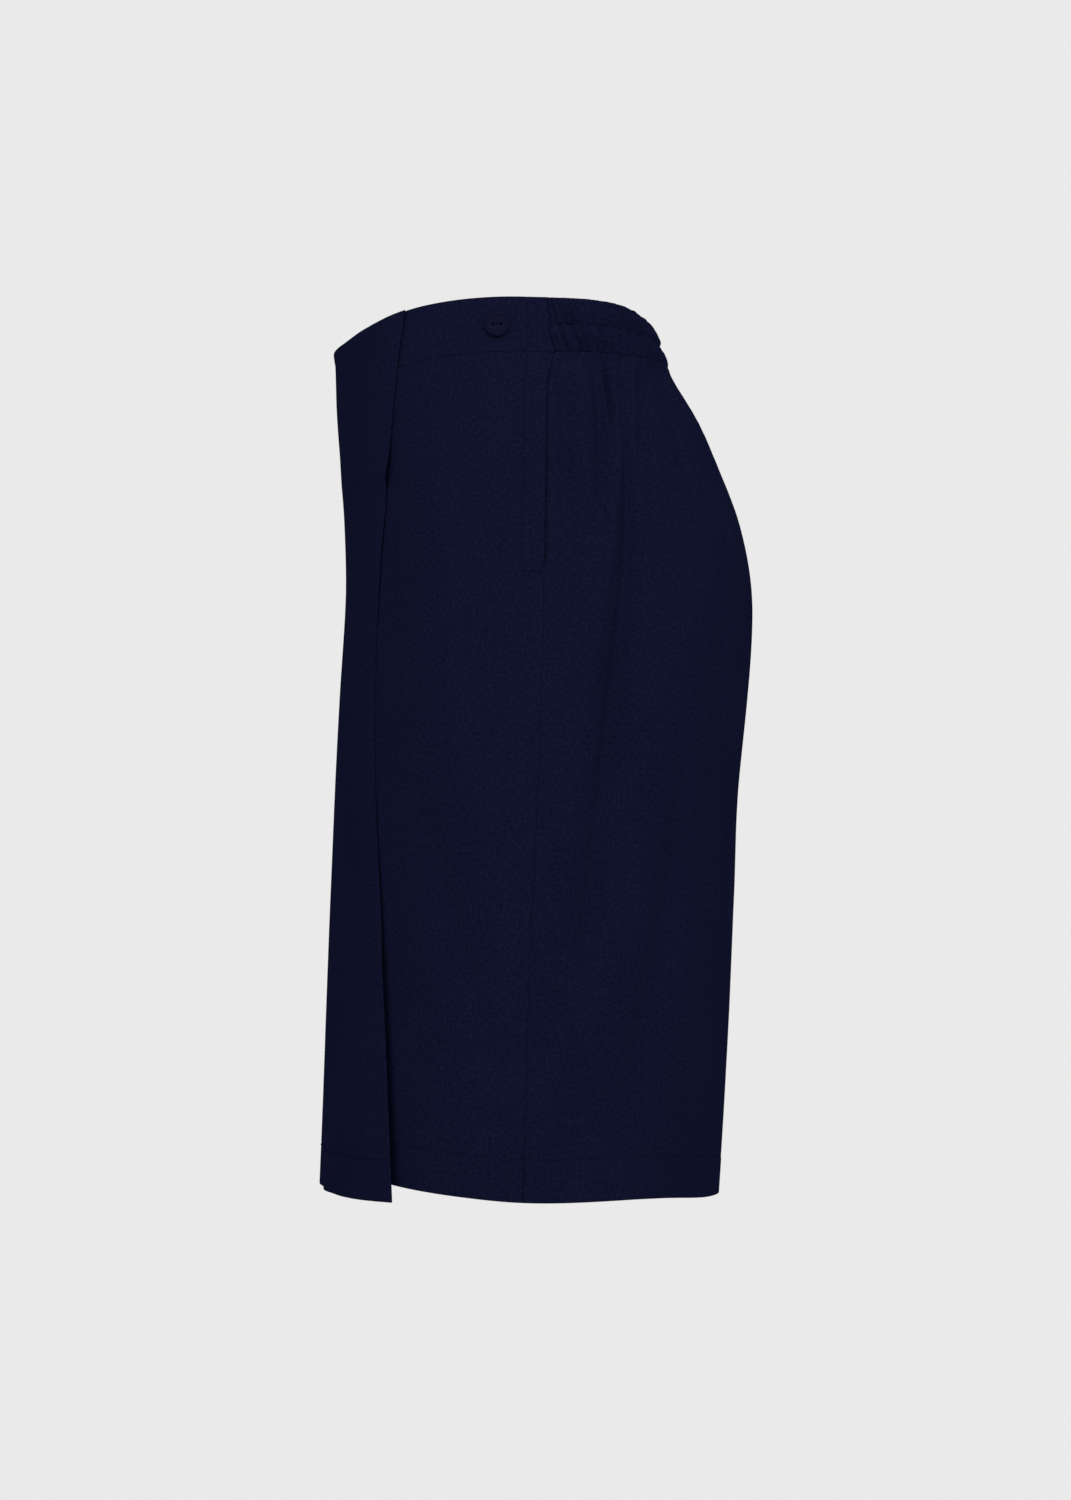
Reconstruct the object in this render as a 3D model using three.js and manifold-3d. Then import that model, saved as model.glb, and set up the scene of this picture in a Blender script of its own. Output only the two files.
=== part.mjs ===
// A skort: wide-leg, knee-length shorts with a skirt panel over the front, open as when it is worn.
// Millimetres, +Z up. The front faces -Y and the wearer's left is +X.
// The origin is the middle of the waist opening, level with its top edge at the sides.

import * as THREE from "three";
import { mergeVertices } from "three/addons/utils/BufferGeometryUtils.js";
import Module from "manifold-3d";

// ---- Cloth and sewing ----
const SEAM_GAP = 0.3; // between pieces sewn edge to edge
const CLOTH_WALL = 1.6; // one panel
const BAND_WALL = 2.4; // a waistband, folded double
const NAVY = 0x111329;
const BUTTON_NAVY = 0x14162c;

// ---- Shorts: plan sections down the garment ----
// halfWidth is the x of the side; front and back are the y of the middle front and middle back;
// side is the y of the widest point; power is the roundness of the plan (2 is an ellipse);
// frontFold and backFold are the radii that turn the cloth in between the legs.
const SECTIONS = [
  { z: 8, halfWidth: 141.0, front: -98.8, side: 0, back: 97.5, power: 2.0, frontFold: 0, backFold: 0 },
  { z: -4, halfWidth: 142.5, front: -98.8, side: 1, back: 100.0, power: 2.0, frontFold: 0, backFold: 0 },
  { z: -21, halfWidth: 145.0, front: -100.3, side: 2.7, back: 105.0, power: 2.03, frontFold: 0, backFold: 0 },
  { z: -27, halfWidth: 146.0, front: -99.2, side: 3.4, back: 107.2, power: 2.04, frontFold: 0, backFold: 0 },
  { z: -32, halfWidth: 147.0, front: -98.9, side: 4, back: 109.5, power: 2.05, frontFold: 0, backFold: 0 },
  { z: -60, halfWidth: 154.5, front: -97.7, side: 8, back: 128.5, power: 2.1, frontFold: 4, backFold: 4 },
  { z: -92, halfWidth: 163.5, front: -95.0, side: 12, back: 143.0, power: 2.15, frontFold: 8, backFold: 8 },
  { z: -130, halfWidth: 172.5, front: -91.8, side: 15, back: 157.0, power: 2.2, frontFold: 12, backFold: 14 },
  { z: -175, halfWidth: 180.0, front: -90.4, side: 17, back: 164.1, power: 2.25, frontFold: 16, backFold: 26 },
  { z: -240, halfWidth: 186.5, front: -93.5, side: 19, back: 161.0, power: 2.3, frontFold: 24, backFold: 40 },
  { z: -296, halfWidth: 190.0, front: -95.4, side: 19, back: 155.8, power: 2.3, frontFold: 32, backFold: 50 },
  { z: -360, halfWidth: 193.7, front: -96.6, side: 18.5, back: 154.2, power: 2.3, frontFold: 42, backFold: 55 },
  { z: -420, halfWidth: 197.0, front: -97.4, side: 18, back: 151.4, power: 2.3, frontFold: 50, backFold: 58 },
  { z: -550, halfWidth: 204.0, front: -99.9, side: 17, back: 143.2, power: 2.3, frontFold: 60, backFold: 60 },
];
const FOLD_REACH = 62; // the x where every section is past its middle fold
const FOLD_COLUMNS = { share: 0.66, length: 87 }; // the stretch inward of it that the fold's columns cover

// ---- Rise, crotch and inside leg ----
const CROTCH_Z = -285;
const CROTCH_Y = 22;
const FRONT_RISE_CURVE_Z = -180; // where the middle front seam starts to curve under
const BACK_RISE_CURVE_Z = -165;
const INSEAM_FLARE = 3; // how far the inside leg stands off the middle
const INSEAM_FLARE_OVER = 12; // the distance from the seam over which it does so
const LEG_SPREAD = 0.016; // further gap between the legs, per mm below the crotch
const INSIDE_FACING = -0.85; // cloth that faces the middle more than this counts as the flat inside leg

// ---- Edges, as heights and places round the garment ----
// The waist's top edge and the seam under the waistband, by y.
const WAIST_EDGE = [
  { y: -101, top: -20.4, seam: -52 },
  { y: -90, top: -18.0, seam: -48 },
  { y: -78, top: -13.3, seam: -44.5 },
  { y: -55, top: -5.6, seam: -39.5 },
  { y: -31, top: -1.8, seam: -35.5 },
  { y: 0, top: 0.5, seam: -33.3 },
  { y: 36, top: 1.4, seam: -32.5 },
  { y: 60, top: 2.7, seam: -31.2 },
  { y: 80, top: 2.6, seam: -30.2 },
  { y: 94, top: -0.5, seam: -29.4 },
  { y: 104, top: -4, seam: -28.6 },
];
// The side seam, by height. It bulges back where the waistband is sewn on.
const SIDE_SEAM = [
  { z: 8, y: 32.5 },
  { z: -12, y: 33.8 },
  { z: -22, y: 34.2 },
  { z: -33, y: 37.5 },
  { z: -48, y: 33.2 },
  { z: -66, y: 32.2 },
  { z: -113, y: 31.6 },
  { z: -154, y: 31.0 },
  { z: -207, y: 30.2 },
  { z: -253, y: 29.0 },
  { z: -300, y: 27.1 },
  { z: -359, y: 24.2 },
  { z: -427, y: 21.5 },
  { z: -491, y: 19.7 },
  { z: -550, y: 18.6 },
];
// The shorts' hem, by y: it falls from the front to the side, and again round the back of the leg.
const SHORTS_HEM = [
  { y: -102, z: -526 },
  { y: -60, z: -528.5 },
  { y: -20, z: -531.5 },
  { y: 20, z: -534.3 },
  { y: 80, z: -535.0 },
  { y: 100, z: -536.4 },
  { y: 115, z: -539.0 },
  { y: 132, z: -543.8 },
  { y: 140, z: -547.2 },
  { y: 146, z: -550.0 },
];

// ---- Skirt panel ----
// edgeY is the y of the free edge at the wearer's left. edgeClear, frontClear and seamClear are the gaps
// between the panel and the shorts at the free edge, the middle front and the right side seam.
const SKIRT = [
  { z: 8, edgeY: -50.5, edgeClear: 0.8, frontClear: 0.8, seamClear: 0.7 },
  { z: -5, edgeY: -52.0, edgeClear: 0.8, frontClear: 0.8, seamClear: 0.7 },
  { z: -40, edgeY: -57.0, edgeClear: 0.7, frontClear: 1.2, seamClear: 0.8 },
  { z: -84, edgeY: -60.8, edgeClear: 0.7, frontClear: 1.6, seamClear: 0.8 },
  { z: -93, edgeY: -61.2, edgeClear: 1.1, frontClear: 1.8, seamClear: 0.8 },
  { z: -106, edgeY: -62.0, edgeClear: 2.6, frontClear: 2.0, seamClear: 0.7 },
  { z: -112, edgeY: -63.5, edgeClear: 1.0, frontClear: 2.1, seamClear: 0.7 },
  { z: -124, edgeY: -64.2, edgeClear: 0.7, frontClear: 2.2, seamClear: 0.7 },
  { z: -157, edgeY: -67.3, edgeClear: 0.7, frontClear: 2.4, seamClear: 0.7 },
  { z: -229, edgeY: -70.3, edgeClear: 0.7, frontClear: 2.8, seamClear: 0.7 },
  { z: -295, edgeY: -69.6, edgeClear: 0.9, frontClear: 4.0, seamClear: 0.7 },
  { z: -361, edgeY: -65.7, edgeClear: 1.4, frontClear: 5.2, seamClear: 0.8 },
  { z: -450, edgeY: -60.0, edgeClear: 2.6, frontClear: 7.2, seamClear: 1.0 },
  { z: -550, edgeY: -54.0, edgeClear: 4.6, frontClear: 9.6, seamClear: 1.4 },
];
const SKIRT_HEM = { front: -547.2, edge: -537.8, seam: -539 };
const SKIRT_HEM_ROUND = 0.15; // the share of the way to its ends over which it rounds at the middle front

// ---- Folds ----
// A row is one soft trough (depth > 0) or ridge (depth < 0) that runs down the cloth. Its headings are
// degrees round from the wearer's left towards the back, at its top, middle and lower end; spread is its half
// width.
const LEFT_FOLDS = [
  { top: -30, end: -200, headTop: 9.4, headMid: 8.2, headEnd: 7.4, depth: 2.2, spread: 8 },
  { top: -28, end: -150, headTop: 18.6, headMid: 17, headEnd: 14, depth: 3, spread: 6 },
  { top: -28, end: -440, headTop: 25.5, headMid: 11.8, headEnd: 3.6, depth: -2.6, spread: 8 },
  { top: -28, end: -470, headTop: 28.5, headMid: 16.6, headEnd: 8.6, depth: 5.4, spread: 12 },
  { top: -28, end: -120, headTop: 40, headMid: 30.5, headEnd: 26, depth: 2.6, spread: 7 },
  { top: -28, end: -170, headTop: 53, headMid: 50, headEnd: 48, depth: 3, spread: 8 },
  { top: -28, end: -130, headTop: 64, headMid: 62, headEnd: 60, depth: 2.6, spread: 7 },
  { top: -28, end: -160, headTop: 76, headMid: 75, headEnd: 74, depth: 3, spread: 8 },
  { top: -250, end: -500, headTop: 34, headMid: 28.5, headEnd: 15, depth: 3.2, spread: 16 },
  { top: -290, end: -520, headTop: 62, headMid: 57, headEnd: 50, depth: 3, spread: 18 },
  { top: -300, end: -470, headTop: -20, headMid: -12, headEnd: -3, depth: 2.4, spread: 16 },
];
// The wearer's right has like folds, turned a few degrees from the left's and a little deeper or shallower.
const RIGHT_TURN = 2.6;
const RIGHT_DEPTH = { mean: 0.9, swing: 0.15 };
const RIGHT_FOLDS = LEFT_FOLDS.map((fold, index) => {
  const shift = RIGHT_TURN * Math.sin(2.4 * index + 1);
  return {
    ...fold,
    headTop: fold.headTop + shift,
    headMid: fold.headMid + shift,
    headEnd: fold.headEnd - shift,
    depth: fold.depth * (RIGHT_DEPTH.mean + RIGHT_DEPTH.swing * Math.cos(1.7 * index)),
  };
});
const HEADING_CENTRE_Y = 20; // the headings turn about this point
const GATHERED_ABOVE = -40; // a fold that starts above this height is gathered into the waist seam
const SEWN_SHARE = 0.35; // of its depth, where a gathered fold is sewn into the seam
const SEWN_REACH = 24; // it has its full depth this far below the seam

// The opening down the left side seam: the front panel's edge stands a little proud there.
const PLACKET = { top: -34, end: -166, width: 13, lift: 1.3, ease: 8 };

// ---- Elastic at the back of the waist ----
const GATHERS = 48;
const COLUMNS_PER_GATHER = 4;
const ELASTIC_ROWS = [
  { share: 0, puff: 0, wave: 0.5 },
  { share: 0.14, puff: 1.4, wave: 1.2 },
  { share: 0.32, puff: 1.5, wave: 1.3 },
  { share: 0.47, puff: 0, wave: 0.5 },
  { share: 0.6, puff: 1.8, wave: 1.4 },
  { share: 0.8, puff: 2.0, wave: 1.5 },
  { share: 1, puff: 0.2, wave: 0.6 },
];
const INNER_BAND_ROWS = [0, 2, 3, 4, 5, 6]; // the rows that the plain faces of both waistbands keep
const GATHER_LEAN = 6; // the gathers nearest the side lean back this far over the band's height
const LEAN_SHARE = 1 / 6; // of the band's length, at each end
const END_SHARE = 1 / 40; // over which the gathers die out at each end

// ---- Button ----
const BUTTON = { diameter: 15.2, thickness: 3, y: 3, z: -16.7 };
const BUTTON_RIM = { width: 1.7, slope: 0.9, rounding: 0.6 };
const BUTTON_WELL = 0.9; // how deep it lies under the rim
const BUTTON_BEVEL = 1.2; // round the back
const BUTTON_HOLE = { spread: 4.8, radius: 0.9 };
const BUTTON_SEAT = 0.45; // clear of the curved band under its middle
const BUTTON_SIDES = 36;
const HOLE_SIDES = 12;

// ---- Fineness ----
const PLAN_STEPS = 160; // points on each half plan
const INSIDE_STEPS = 24; // points on each inside leg
const NORMAL_REACH = 2; // a plan curve's direction is read this far each side of a place
const COLUMNS = {
  front: { outer: 8, fold: 4, inside: 3 },
  back: { outer: 28, fold: 4, inside: 4 },
  frontBand: 34,
  skirt: 26,
};
const ROWS = { shorts: 18, skirt: 20 };
const CROTCH_CROWDING = 1.6; // how much the rows crowd together above the crotch

// ---------------------------------------------------------------- tables and small functions

const mix = (a, b, share) => a + (b - a) * share;
const clamp = (value, low, high) => Math.min(Math.max(value, low), high);

// One column of a table at a given key, on a smooth curve through the table's rows.
function follow(table, key, column, at) {
  const last = table.length - 1;
  const down = table[last][key] < table[0][key];
  let i = 0;
  while (i < last - 1 && (down ? at < table[i + 1][key] : at > table[i + 1][key])) i++;
  const slope = (row) => {
    const before = table[Math.max(row - 1, 0)];
    const after = table[Math.min(row + 1, last)];
    return (after[column] - before[column]) / (after[key] - before[key]);
  };
  const span = table[i + 1][key] - table[i][key];
  const t = clamp((at - table[i][key]) / span, 0, 1);
  return (
    table[i][column] * (1 + 2 * t) * (1 - t) ** 2 +
    slope(i) * span * t * (1 - t) ** 2 +
    table[i + 1][column] * t * t * (3 - 2 * t) +
    slope(i + 1) * span * t * t * (t - 1)
  );
}

// A polyline that can be read by the distance along it.
class Path {
  constructor(points) {
    this.points = points;
    this.lengths = [0];
    for (let i = 1; i < points.length; i++)
      this.lengths.push(this.lengths[i - 1] + points[i].distanceTo(points[i - 1]));
    this.length = this.lengths.at(-1);
  }
  at(distance) {
    const along = clamp(distance, 0, this.length);
    let i = 1;
    while (i < this.points.length - 1 && this.lengths[i] < along) i++;
    const share = (along - this.lengths[i - 1]) / (this.lengths[i] - this.lengths[i - 1] || 1);
    return this.points[i - 1].clone().lerp(this.points[i], share);
  }
  // The distance at which a function of the points first passes zero, looked for from one end.
  where(passed, fromEnd = false) {
    const last = this.points.length - 1;
    for (let step = 1; step <= last; step++) {
      const i = fromEnd ? last - step : step;
      const j = fromEnd ? i + 1 : i - 1;
      const here = passed(this.points[i]);
      const before = passed(this.points[j]);
      if (before < 0 && here >= 0) return mix(this.lengths[j], this.lengths[i], -before / (here - before));
    }
    return fromEnd ? 0 : this.length;
  }
}

// ---------------------------------------------------------------- plan curves

// The garment's left half at one height, from the middle front round the side to the middle back.
function halfPlan(z) {
  const columns = ["halfWidth", "front", "side", "back", "power"];
  const [halfWidth, front, side, back, power] = columns.map((column) => follow(SECTIONS, "z", column, z));
  const points = [];
  for (let step = 0; step <= PLAN_STEPS; step++) {
    const turn = (Math.PI * step) / PLAN_STEPS;
    const reach = turn < Math.PI / 2 ? front : back;
    const outward = Math.abs(Math.sin(turn)) ** (2 / power);
    const along = Math.abs(Math.cos(turn)) ** (2 / power);
    points.push(new THREE.Vector2(halfWidth * outward, mix(side, reach, along)));
  }
  return points;
}

// How far the middle seam has turned in under the body, as a share of the way to the crotch.
function riseShare(z, curveZ) {
  const t = clamp((curveZ - z) / (curveZ - CROTCH_Z), 0, 1);
  return 1 - Math.sqrt(1 - t * t);
}

// Moves one end of a half plan in between the legs: it rounds the cloth's fold and adds the inside leg.
function turnIn(points, z, edge, fold, curveZ) {
  const middle = points[0].y;
  const depth = (edge - middle) * riseShare(z, curveZ);
  const radius = Math.min(Math.abs(depth), fold);
  const inward = Math.sign(edge - middle);
  const seamY = middle + depth;
  const below = Math.max(0, CROTCH_Z - z);
  const insideX = (y) => {
    const away = Math.hypot(seamY - y, below);
    return SEAM_GAP / 2 + INSEAM_FLARE * (1 - Math.exp(-away / INSEAM_FLARE_OVER)) + LEG_SPREAD * below;
  };
  const turned = points.map((point) => {
    if (point.x >= radius) return new THREE.Vector2(Math.max(point.x, SEAM_GAP / 2), point.y);
    const short = radius - point.x;
    const y = point.y + inward * (radius - Math.sqrt(Math.max(radius * radius - short * short, 0)));
    return new THREE.Vector2(point.x + insideX(y) * (short / radius), y);
  });
  const inside = [];
  const start = turned[0].y;
  if (Math.abs(seamY - start) > SEAM_GAP)
    for (let step = 0; step < INSIDE_STEPS; step++) {
      const y = mix(seamY, start, step / INSIDE_STEPS);
      inside.push(new THREE.Vector2(insideX(y), y));
    }
  return [...inside, ...turned];
}

const sectionCache = new Map();

// One leg's section (and above the crotch, the left half of the body's): front seam, side, back seam.
function legSection(z) {
  const key = z.toFixed(2);
  if (sectionCache.has(key)) return sectionCache.get(key);
  const half = halfPlan(z);
  const seamY = follow(SIDE_SEAM, "z", "y", z);
  const widest = PLAN_STEPS / 2;
  const front = half.slice(0, widest + 1);
  const back = half.slice(widest).reverse();
  const frontFold = follow(SECTIONS, "z", "frontFold", z);
  const backFold = follow(SECTIONS, "z", "backFold", z);
  const frontPoints = turnIn(front, z, CROTCH_Y - SEAM_GAP / 2, frontFold, FRONT_RISE_CURVE_Z);
  const backPoints = turnIn(back, z, CROTCH_Y + SEAM_GAP / 2, backFold, BACK_RISE_CURVE_Z).reverse();
  const path = new Path([...frontPoints, ...backPoints.slice(1)]);
  const sideStart = path.lengths[frontPoints.length - 1];
  const onSide = path.points.findIndex((point, i) => path.lengths[i] > sideStart && point.y >= seamY);
  const before = path.points[onSide - 1];
  const seamShare = (seamY - before.y) / (path.points[onSide].y - before.y);
  path.seam = mix(path.lengths[onSide - 1], path.lengths[onSide], seamShare);
  path.frontTurn = path.where((point) => point.x - FOLD_REACH);
  path.backTurn = path.where((point) => point.x - FOLD_REACH, true);
  sectionCache.set(key, path);
  return path;
}

// The left half's plan as a path, with the place of the side seam.
function halfRing(z) {
  const path = new Path(halfPlan(z));
  const seamY = follow(SIDE_SEAM, "z", "y", z);
  path.seam = path.where((point) => point.y - seamY);
  return path;
}

// A point on the whole ring: distance 0 is the middle front, and it grows towards the wearer's left.
function ringPoint(ring, distance) {
  const round = 2 * ring.length;
  const wrapped = ((distance % round) + round) % round;
  const onRight = wrapped > ring.length;
  const point = ring.at(onRight ? round - wrapped : wrapped);
  return onRight ? new THREE.Vector2(-point.x, point.y) : point;
}

// The outward direction of an anticlockwise plan curve, read a little before and after a place on it.
function outwardOf(pointAt, distance) {
  const tangent = pointAt(distance + NORMAL_REACH).sub(pointAt(distance - NORMAL_REACH)).normalize();
  return new THREE.Vector2(tangent.y, -tangent.x);
}

// The outer and inner point of a wall at one place, each set off a plan curve.
function throughWall(point, outward, push, depth, z) {
  const outer = point.clone().addScaledVector(outward, push);
  const inner = point.clone().addScaledVector(outward, depth);
  return [new THREE.Vector3(outer.x, outer.y, z), new THREE.Vector3(inner.x, inner.y, z)];
}

// ---------------------------------------------------------------- walls

// A closed wall. surface(u, v) gives an outer and an inner point; u runs anticlockwise seen from above and
// v runs down. us and vs are the stations; the inner face may skip rows of the outer one.
function wall(surface, us, vs, innerRows = vs.map((_, row) => row)) {
  const points = us.map((u) => vs.map((v) => surface(u, v)));
  const positions = [];
  const place = (point) => positions.push(point.x, point.y, point.z) / 3 - 1;
  const outside = points.map((column) => column.map(([outer]) => place(outer)));
  const inside = points.map((column) => innerRows.map((row) => place(column[row][1])));
  const triangles = [];
  const quad = (a, b, c, d) => triangles.push(a, b, c, a, c, d);
  const lastColumn = us.length - 1;
  const lastOuter = vs.length - 1;
  const lastInner = innerRows.length - 1;
  for (let i = 0; i < lastColumn; i++) {
    for (let j = 0; j < lastOuter; j++)
      quad(outside[i][j], outside[i][j + 1], outside[i + 1][j + 1], outside[i + 1][j]);
    for (let j = 0; j < lastInner; j++)
      quad(inside[i][j], inside[i + 1][j], inside[i + 1][j + 1], inside[i][j + 1]);
    quad(outside[i][0], outside[i + 1][0], inside[i + 1][0], inside[i][0]);
    quad(outside[i][lastOuter], inside[i][lastInner], inside[i + 1][lastInner], outside[i + 1][lastOuter]);
  }
  // The two upright edges join an outer column to an inner one that may have fewer rows.
  const closeEdge = (i, isFirst) => {
    const side = (a, b, c) => triangles.push(...(isFirst ? [a, c, b] : [a, b, c]));
    for (let j = 0; j < lastInner; j++) {
      const [from, to] = [innerRows[j], innerRows[j + 1]];
      for (let row = from; row < to; row++) side(outside[i][row], outside[i][row + 1], inside[i][j]);
      side(outside[i][to], inside[i][j + 1], inside[i][j]);
    }
  };
  closeEdge(0, true);
  closeEdge(lastColumn, false);
  const geometry = new THREE.BufferGeometry();
  geometry.setAttribute("position", new THREE.Float32BufferAttribute(positions, 3));
  geometry.setIndex(triangles);
  geometry.computeVertexNormals();
  return geometry;
}

// The same wall on the other side of the body.
function mirrored(geometry) {
  const flipped = geometry.clone();
  flipped.scale(-1, 1, 1);
  const index = flipped.getIndex();
  for (let i = 0; i < index.count; i += 3) {
    const first = index.getX(i);
    index.setX(i, index.getX(i + 1));
    index.setX(i + 1, first);
  }
  flipped.computeVertexNormals();
  return flipped;
}

const stations = (count) => Array.from({ length: count + 1 }, (_, i) => i / count);

// ---------------------------------------------------------------- shorts panels

// How far the cloth is pushed out by the folds at a place on the body's left half.
function foldPush(folds, x, y, z) {
  const heading = THREE.MathUtils.radToDeg(Math.atan2(y - HEADING_CENTRE_Y, x));
  const radius = Math.hypot(x, y - HEADING_CENTRE_Y);
  let push = 0;
  for (const fold of folds) {
    const down = (fold.top - z) / (fold.top - fold.end);
    if (down < 0 || down > 1) continue;
    const up = 1 - down;
    const ends = fold.headTop * up * (up - down) + fold.headEnd * down * (down - up);
    const path = ends + 4 * fold.headMid * up * down;
    const away = (THREE.MathUtils.degToRad(heading - path) * radius) / fold.spread;
    const isGathered = fold.top > GATHERED_ABOVE;
    const released = THREE.MathUtils.smoothstep(fold.top - z, 0, SEWN_REACH);
    const gathered = Math.cos((Math.PI * down * down) / 2) * THREE.MathUtils.lerp(SEWN_SHARE, 1, released);
    const strength = isGathered ? gathered : Math.sin(Math.PI * down);
    push -= fold.depth * strength * Math.exp(-away * away);
  }
  return push;
}

const hemZ = (y) => follow(SHORTS_HEM, "y", "z", y);

// The height at which a panel's column starts: the waist seam, found on the section it lies in.
function seamZ(placeAt) {
  let z = -36;
  for (let pass = 0; pass < 4; pass++) z = follow(WAIST_EDGE, "y", "seam", placeAt(z).y) - SEAM_GAP / 2;
  return z;
}

// One panel of the shorts' left half. Its columns are in three stretches: the outer cloth, the fold between
// the legs, and the inside leg.
function shortsPanel(isFront, folds, hasPlacket) {
  const counts = isFront ? COLUMNS.front : COLUMNS.back;
  const { outer: outerColumns, fold: foldColumns, inside: insideColumns } = counts;
  const columns = outerColumns + foldColumns + insideColumns;
  const distance = (section, u) => {
    const fromSide = (isFront ? 1 - u : u) * columns;
    const seam = section.seam + (isFront ? -SEAM_GAP / 2 : SEAM_GAP / 2);
    const turn = isFront ? section.frontTurn : section.backTurn;
    const end = isFront ? 0 : section.length;
    const inner = Math.abs(end - turn);
    const foldShare = Math.min(FOLD_COLUMNS.share, FOLD_COLUMNS.length / inner);
    if (fromSide <= outerColumns) return mix(seam, turn, fromSide / outerColumns);
    if (fromSide <= outerColumns + foldColumns)
      return mix(turn, mix(turn, end, foldShare), (fromSide - outerColumns) / foldColumns);
    return mix(mix(turn, end, foldShare), end, (fromSide - outerColumns - foldColumns) / insideColumns);
  };
  const placeAt = (u) => (z) => {
    const section = legSection(z);
    return section.at(distance(section, u));
  };
  const hemAt = (u) => {
    let z = SHORTS_HEM[0].z;
    for (let pass = 0; pass < 3; pass++) z = hemZ(placeAt(u)(z).y);
    return z;
  };
  const seamSide = isFront ? 1 : 0;
  const innerSide = 1 - seamSide;
  const topSide = seamZ(placeAt(seamSide));
  const topInner = seamZ(placeAt(innerSide));
  const hemSide = hemAt(seamSide);
  const hemInner = hemAt(innerSide);
  // Rows crowd together towards the crotch on the inner seam, and stay even on the side seam.
  const innerZ = (v) => {
    if (v >= 0.5) return mix(CROTCH_Z, hemInner, 2 * v - 1);
    return mix(topInner, CROTCH_Z, 1 - (1 - 2 * v) ** CROTCH_CROWDING);
  };
  const surface = (u, v) => {
    const inwardShare = isFront ? 1 - u : u;
    const evenTop = mix(topSide, topInner, inwardShare);
    const evenHem = mix(hemSide, hemInner, inwardShare);
    const row = mix(mix(topSide, hemSide, v), innerZ(v), inwardShare);
    const z = row + (1 - v) * (seamZ(placeAt(u)) - evenTop) + v * (hemAt(u) - evenHem);
    const section = legSection(z);
    const along = distance(section, u);
    const point = section.at(along);
    const facing = outwardOf((at) => section.at(at), along);
    const outward = facing.x < INSIDE_FACING ? new THREE.Vector2(-1, 0) : facing;
    const onOutside = clamp((point.x - SEAM_GAP) / FOLD_REACH, 0, 1);
    let push = foldPush(folds, point.x, point.y, z) * onOutside;
    if (hasPlacket && z < PLACKET.top && z > PLACKET.end) {
      const fromEdge = (section.seam - along) / PLACKET.width;
      const ends = Math.min(1, (PLACKET.top - z) / PLACKET.ease, (z - PLACKET.end) / PLACKET.ease);
      push += PLACKET.lift * ends * Math.max(0, 1 - fromEdge);
    }
    return throughWall(point, outward, push, push - CLOTH_WALL, z);
  };
  return wall(surface, stations(columns), stations(ROWS.shorts));
}

// ---------------------------------------------------------------- waistbands and skirt panel

const topZ = (y) => follow(WAIST_EDGE, "y", "top", y);

// The height of a share of the band, at a distance round it.
function bandHeight(distanceAt, v) {
  let top = 0;
  let seam = -33;
  for (let pass = 0; pass < 4; pass++) {
    top = topZ(ringPoint(halfRing(top), distanceAt(halfRing(top))).y);
    seam = follow(WAIST_EDGE, "y", "seam", ringPoint(halfRing(seam), distanceAt(halfRing(seam))).y);
  }
  return mix(top, seam + SEAM_GAP / 2, v);
}

function frontBand() {
  const surface = (u, v) => {
    const distanceAt = (ring) => mix(-1, 1, u) * (ring.seam - SEAM_GAP / 2);
    const z = bandHeight(distanceAt, v);
    const ring = halfRing(z);
    const pointAt = (distance) => ringPoint(ring, distance);
    const distance = distanceAt(ring);
    return throughWall(pointAt(distance), outwardOf(pointAt, distance), 0, -BAND_WALL, z);
  };
  const shares = INNER_BAND_ROWS.map((row) => ELASTIC_ROWS[row].share);
  return wall(surface, stations(COLUMNS.frontBand), shares);
}

function elasticBand() {
  const columns = GATHERS * COLUMNS_PER_GATHER;
  const surface = (u, rowIndex) => {
    const row = ELASTIC_ROWS[rowIndex];
    const distanceAt = (ring) => {
      const start = ring.seam + SEAM_GAP / 2;
      return mix(start, 2 * ring.length - start, u);
    };
    const z = bandHeight(distanceAt, row.share);
    const ring = halfRing(z);
    const fromEnd = Math.min(u, 1 - u);
    const atEnd = Math.min(1, fromEnd / END_SHARE);
    const nearSide = Math.max(0, 1 - fromEnd / LEAN_SHARE) * atEnd;
    const lean = GATHER_LEAN * row.share * nearSide * (u < 0.5 ? 1 : -1);
    const distance = distanceAt(ring) + lean;
    const pointAt = (at) => ringPoint(ring, at);
    const wave = row.wave * (0.5 - 0.5 * Math.cos(2 * Math.PI * GATHERS * u));
    const push = (row.puff + wave) * atEnd;
    return throughWall(pointAt(distance), outwardOf(pointAt, distance), push, -BAND_WALL, z);
  };
  const rows = ELASTIC_ROWS.map((_, row) => row);
  return wall(surface, stations(columns), rows, INNER_BAND_ROWS);
}

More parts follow.
